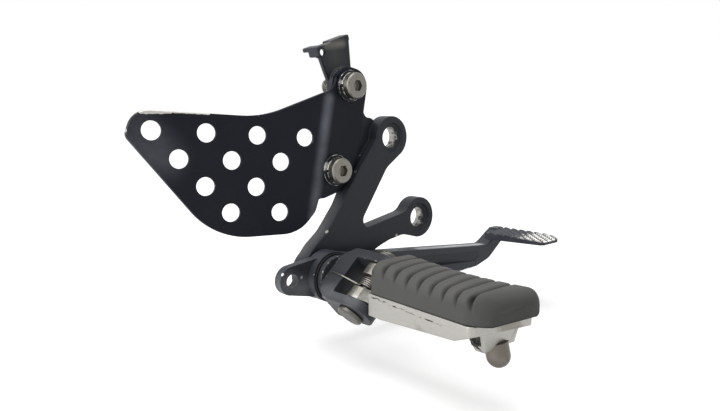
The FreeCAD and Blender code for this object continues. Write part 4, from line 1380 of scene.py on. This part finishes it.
@dataclass
class Studio:
    """Pale floor, soft light and the camera at the photograph's place.

    Attributes:
        eye: The camera's place.
        azimuth: Its bearing, in degrees.
        elevation: Its height above the horizon, in degrees.
        lens: Focal length on a sensor 36 mm wide.
        lamps: The lamps.
        aim: Where the lamps point.
        sky: Strength of the surroundings as light.
        dim_sky: Their strength on the dim side.
        dim_side: Direction of the dim side.
        dim_span: Cosines of the angle to it between which the sky dims.
        floor_drop: Gap between the part's lowest point and the floor, room for the pressed pedal.
        floor_reach: Half the width of the floor.
        floor_glow: What the floor lacks to white near the part, and far off where the lamps don't reach.
        glow_span: Distances between which the one passes into the other.
    """

    eye: Point = (-243.6, -253.4, 15.2)
    azimuth: float = -42.0
    elevation: float = 8.5
    lens: float = 32.5
    lamps: tuple[Lamp, ...] = (Lamp("overhead", (-160.0, -20.0, 640.0), 700.0, 3.2),
                               Lamp("rear_side", (-640.0, 80.0, 200.0), 620.0, 3.0))
    aim: Point = (-30.0, -50.0, -40.0)
    sky: float = 0.9
    dim_sky: float = 0.05
    dim_side: Point = (-0.1, -0.98, -0.15)
    dim_span: tuple[float, float] = (-0.3, 0.9)
    floor_drop: float = 17.0
    floor_reach: float = 12000.0
    floor_glow: tuple[float, float] = (0.28, 0.6)
    glow_span: tuple[float, float] = (200.0, 800.0)

    def camera(self) -> None:
        """Place the camera."""
        data = bpy.data.cameras.new("camera")
        data.lens = self.lens
        data.sensor_width = 36.0
        data.clip_start = 0.01
        data.clip_end = 50.0
        camera = linked("camera", data)
        a, e = math.radians(self.azimuth), math.radians(self.elevation)
        back = Vector((math.sin(a) * math.cos(e), -math.cos(a) * math.cos(e), math.sin(e)))
        camera.location = Vector(self.eye) * MM
        camera.rotation_euler = (-back).to_track_quat("-Z", "Y").to_euler()
        bpy.context.scene.camera = camera

    def light(self) -> None:
        """Hang the lamps."""
        for lamp in self.lamps:
            data = bpy.data.lights.new(lamp.name, "AREA")
            data.shape = "DISK"
            data.size = lamp.size * MM
            data.energy = lamp.power
            hung = linked(lamp.name, data)
            hung.location = Vector(lamp.at) * MM
            away = (Vector(lamp.at) - Vector(self.aim)).normalized()
            hung.rotation_euler = away.to_track_quat("Z", "Y").to_euler()

    def floor(self) -> None:
        """Lay the floor under the part, in matt white card: no shine, and only a soft shadow on it."""
        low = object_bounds()[0].z - self.floor_drop * MM
        reach = self.floor_reach * MM
        mesh = bpy.data.meshes.new("floor")
        mesh.from_pydata([(x * reach, y * reach, low) for x, y in ((-1, -1), (1, -1), (1, 1), (-1, 1))],
                         [], [(0, 1, 2, 3)])
        material, tree, shader = fresh_material("matt_white_card")
        place = add(tree, Kind.COORDINATES).outputs["Object"]
        far = add(tree, Kind.LENGTH, (place,))
        level = add(tree, Kind.RANGE, {
            "Value": far, "From Min": self.glow_span[0] * MM, "From Max": self.glow_span[1] * MM,
            "To Min": self.floor_glow[0], "To Max": self.floor_glow[1]})
        feed(shader, {
            "Base Color": linear("#ebebeb"), "Roughness": 0.9, "Specular IOR Level": 0.0,
            "Emission Color": WHITE, "Emission Strength": add(tree, Kind.MULTIPLY, (self.seen(tree), level))})
        mesh.materials.append(material)
        linked("floor", mesh)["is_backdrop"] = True

    def seen(self, tree: NodeTree) -> Source:
        """Mask of the rays that show a surface: straight to the camera, mirrored or through glass.

        Args:
            tree: The tree of a material or of the world.

        Returns:
            The mask.
        """
        path = add(tree, Kind.LIGHT_PATH).outputs
        mask = path["Is Camera Ray"]
        for kind in ("Is Glossy Ray", "Is Transmission Ray"):
            mask = add(tree, Kind.MAXIMUM, (mask, path[kind]))
        return mask

    def world(self) -> None:
        """White surroundings for the camera, and a softer sky for the light."""
        world = bpy.data.worlds.new("white_room")
        bpy.context.scene.world = world
        world.use_nodes = True
        tree = world.node_tree
        way = add(tree, Kind.COORDINATES).outputs["Generated"]
        side = add(tree, Kind.DOT, (way, self.dim_side))
        level = add(tree, Kind.SMOOTH, {"Value": side, "From Min": self.dim_span[0],
                                        "From Max": self.dim_span[1], "To Min": self.sky,
                                        "To Max": self.dim_sky})
        strength = add(tree, Kind.RANGE, {"Value": self.seen(tree), "To Min": level, "To Max": 1.0})
        feed(tree.nodes["Background"], {"Color": WHITE, "Strength": strength})

    def build(self) -> None:
        """Set up camera, floor and light."""
        self.camera()
        self.floor()
        self.world()
        self.light()
        bpy.context.scene.view_settings.view_transform = "Standard"


def main() -> None:
    """Build the sub-assemblies in order."""
    logging.basicConfig(level=logging.INFO, format="%(message)s")
    steel = PLATED_STEEL.material()
    for assembly in (Bracket(), Holder(), Pedal(), Peg()):
        assembly.build(steel)
    RubberCover().build()
    FoldSpring().build()
    ScrewThreads().build(steel)
    Studio().build()


if __name__ == "__main__":
    main()
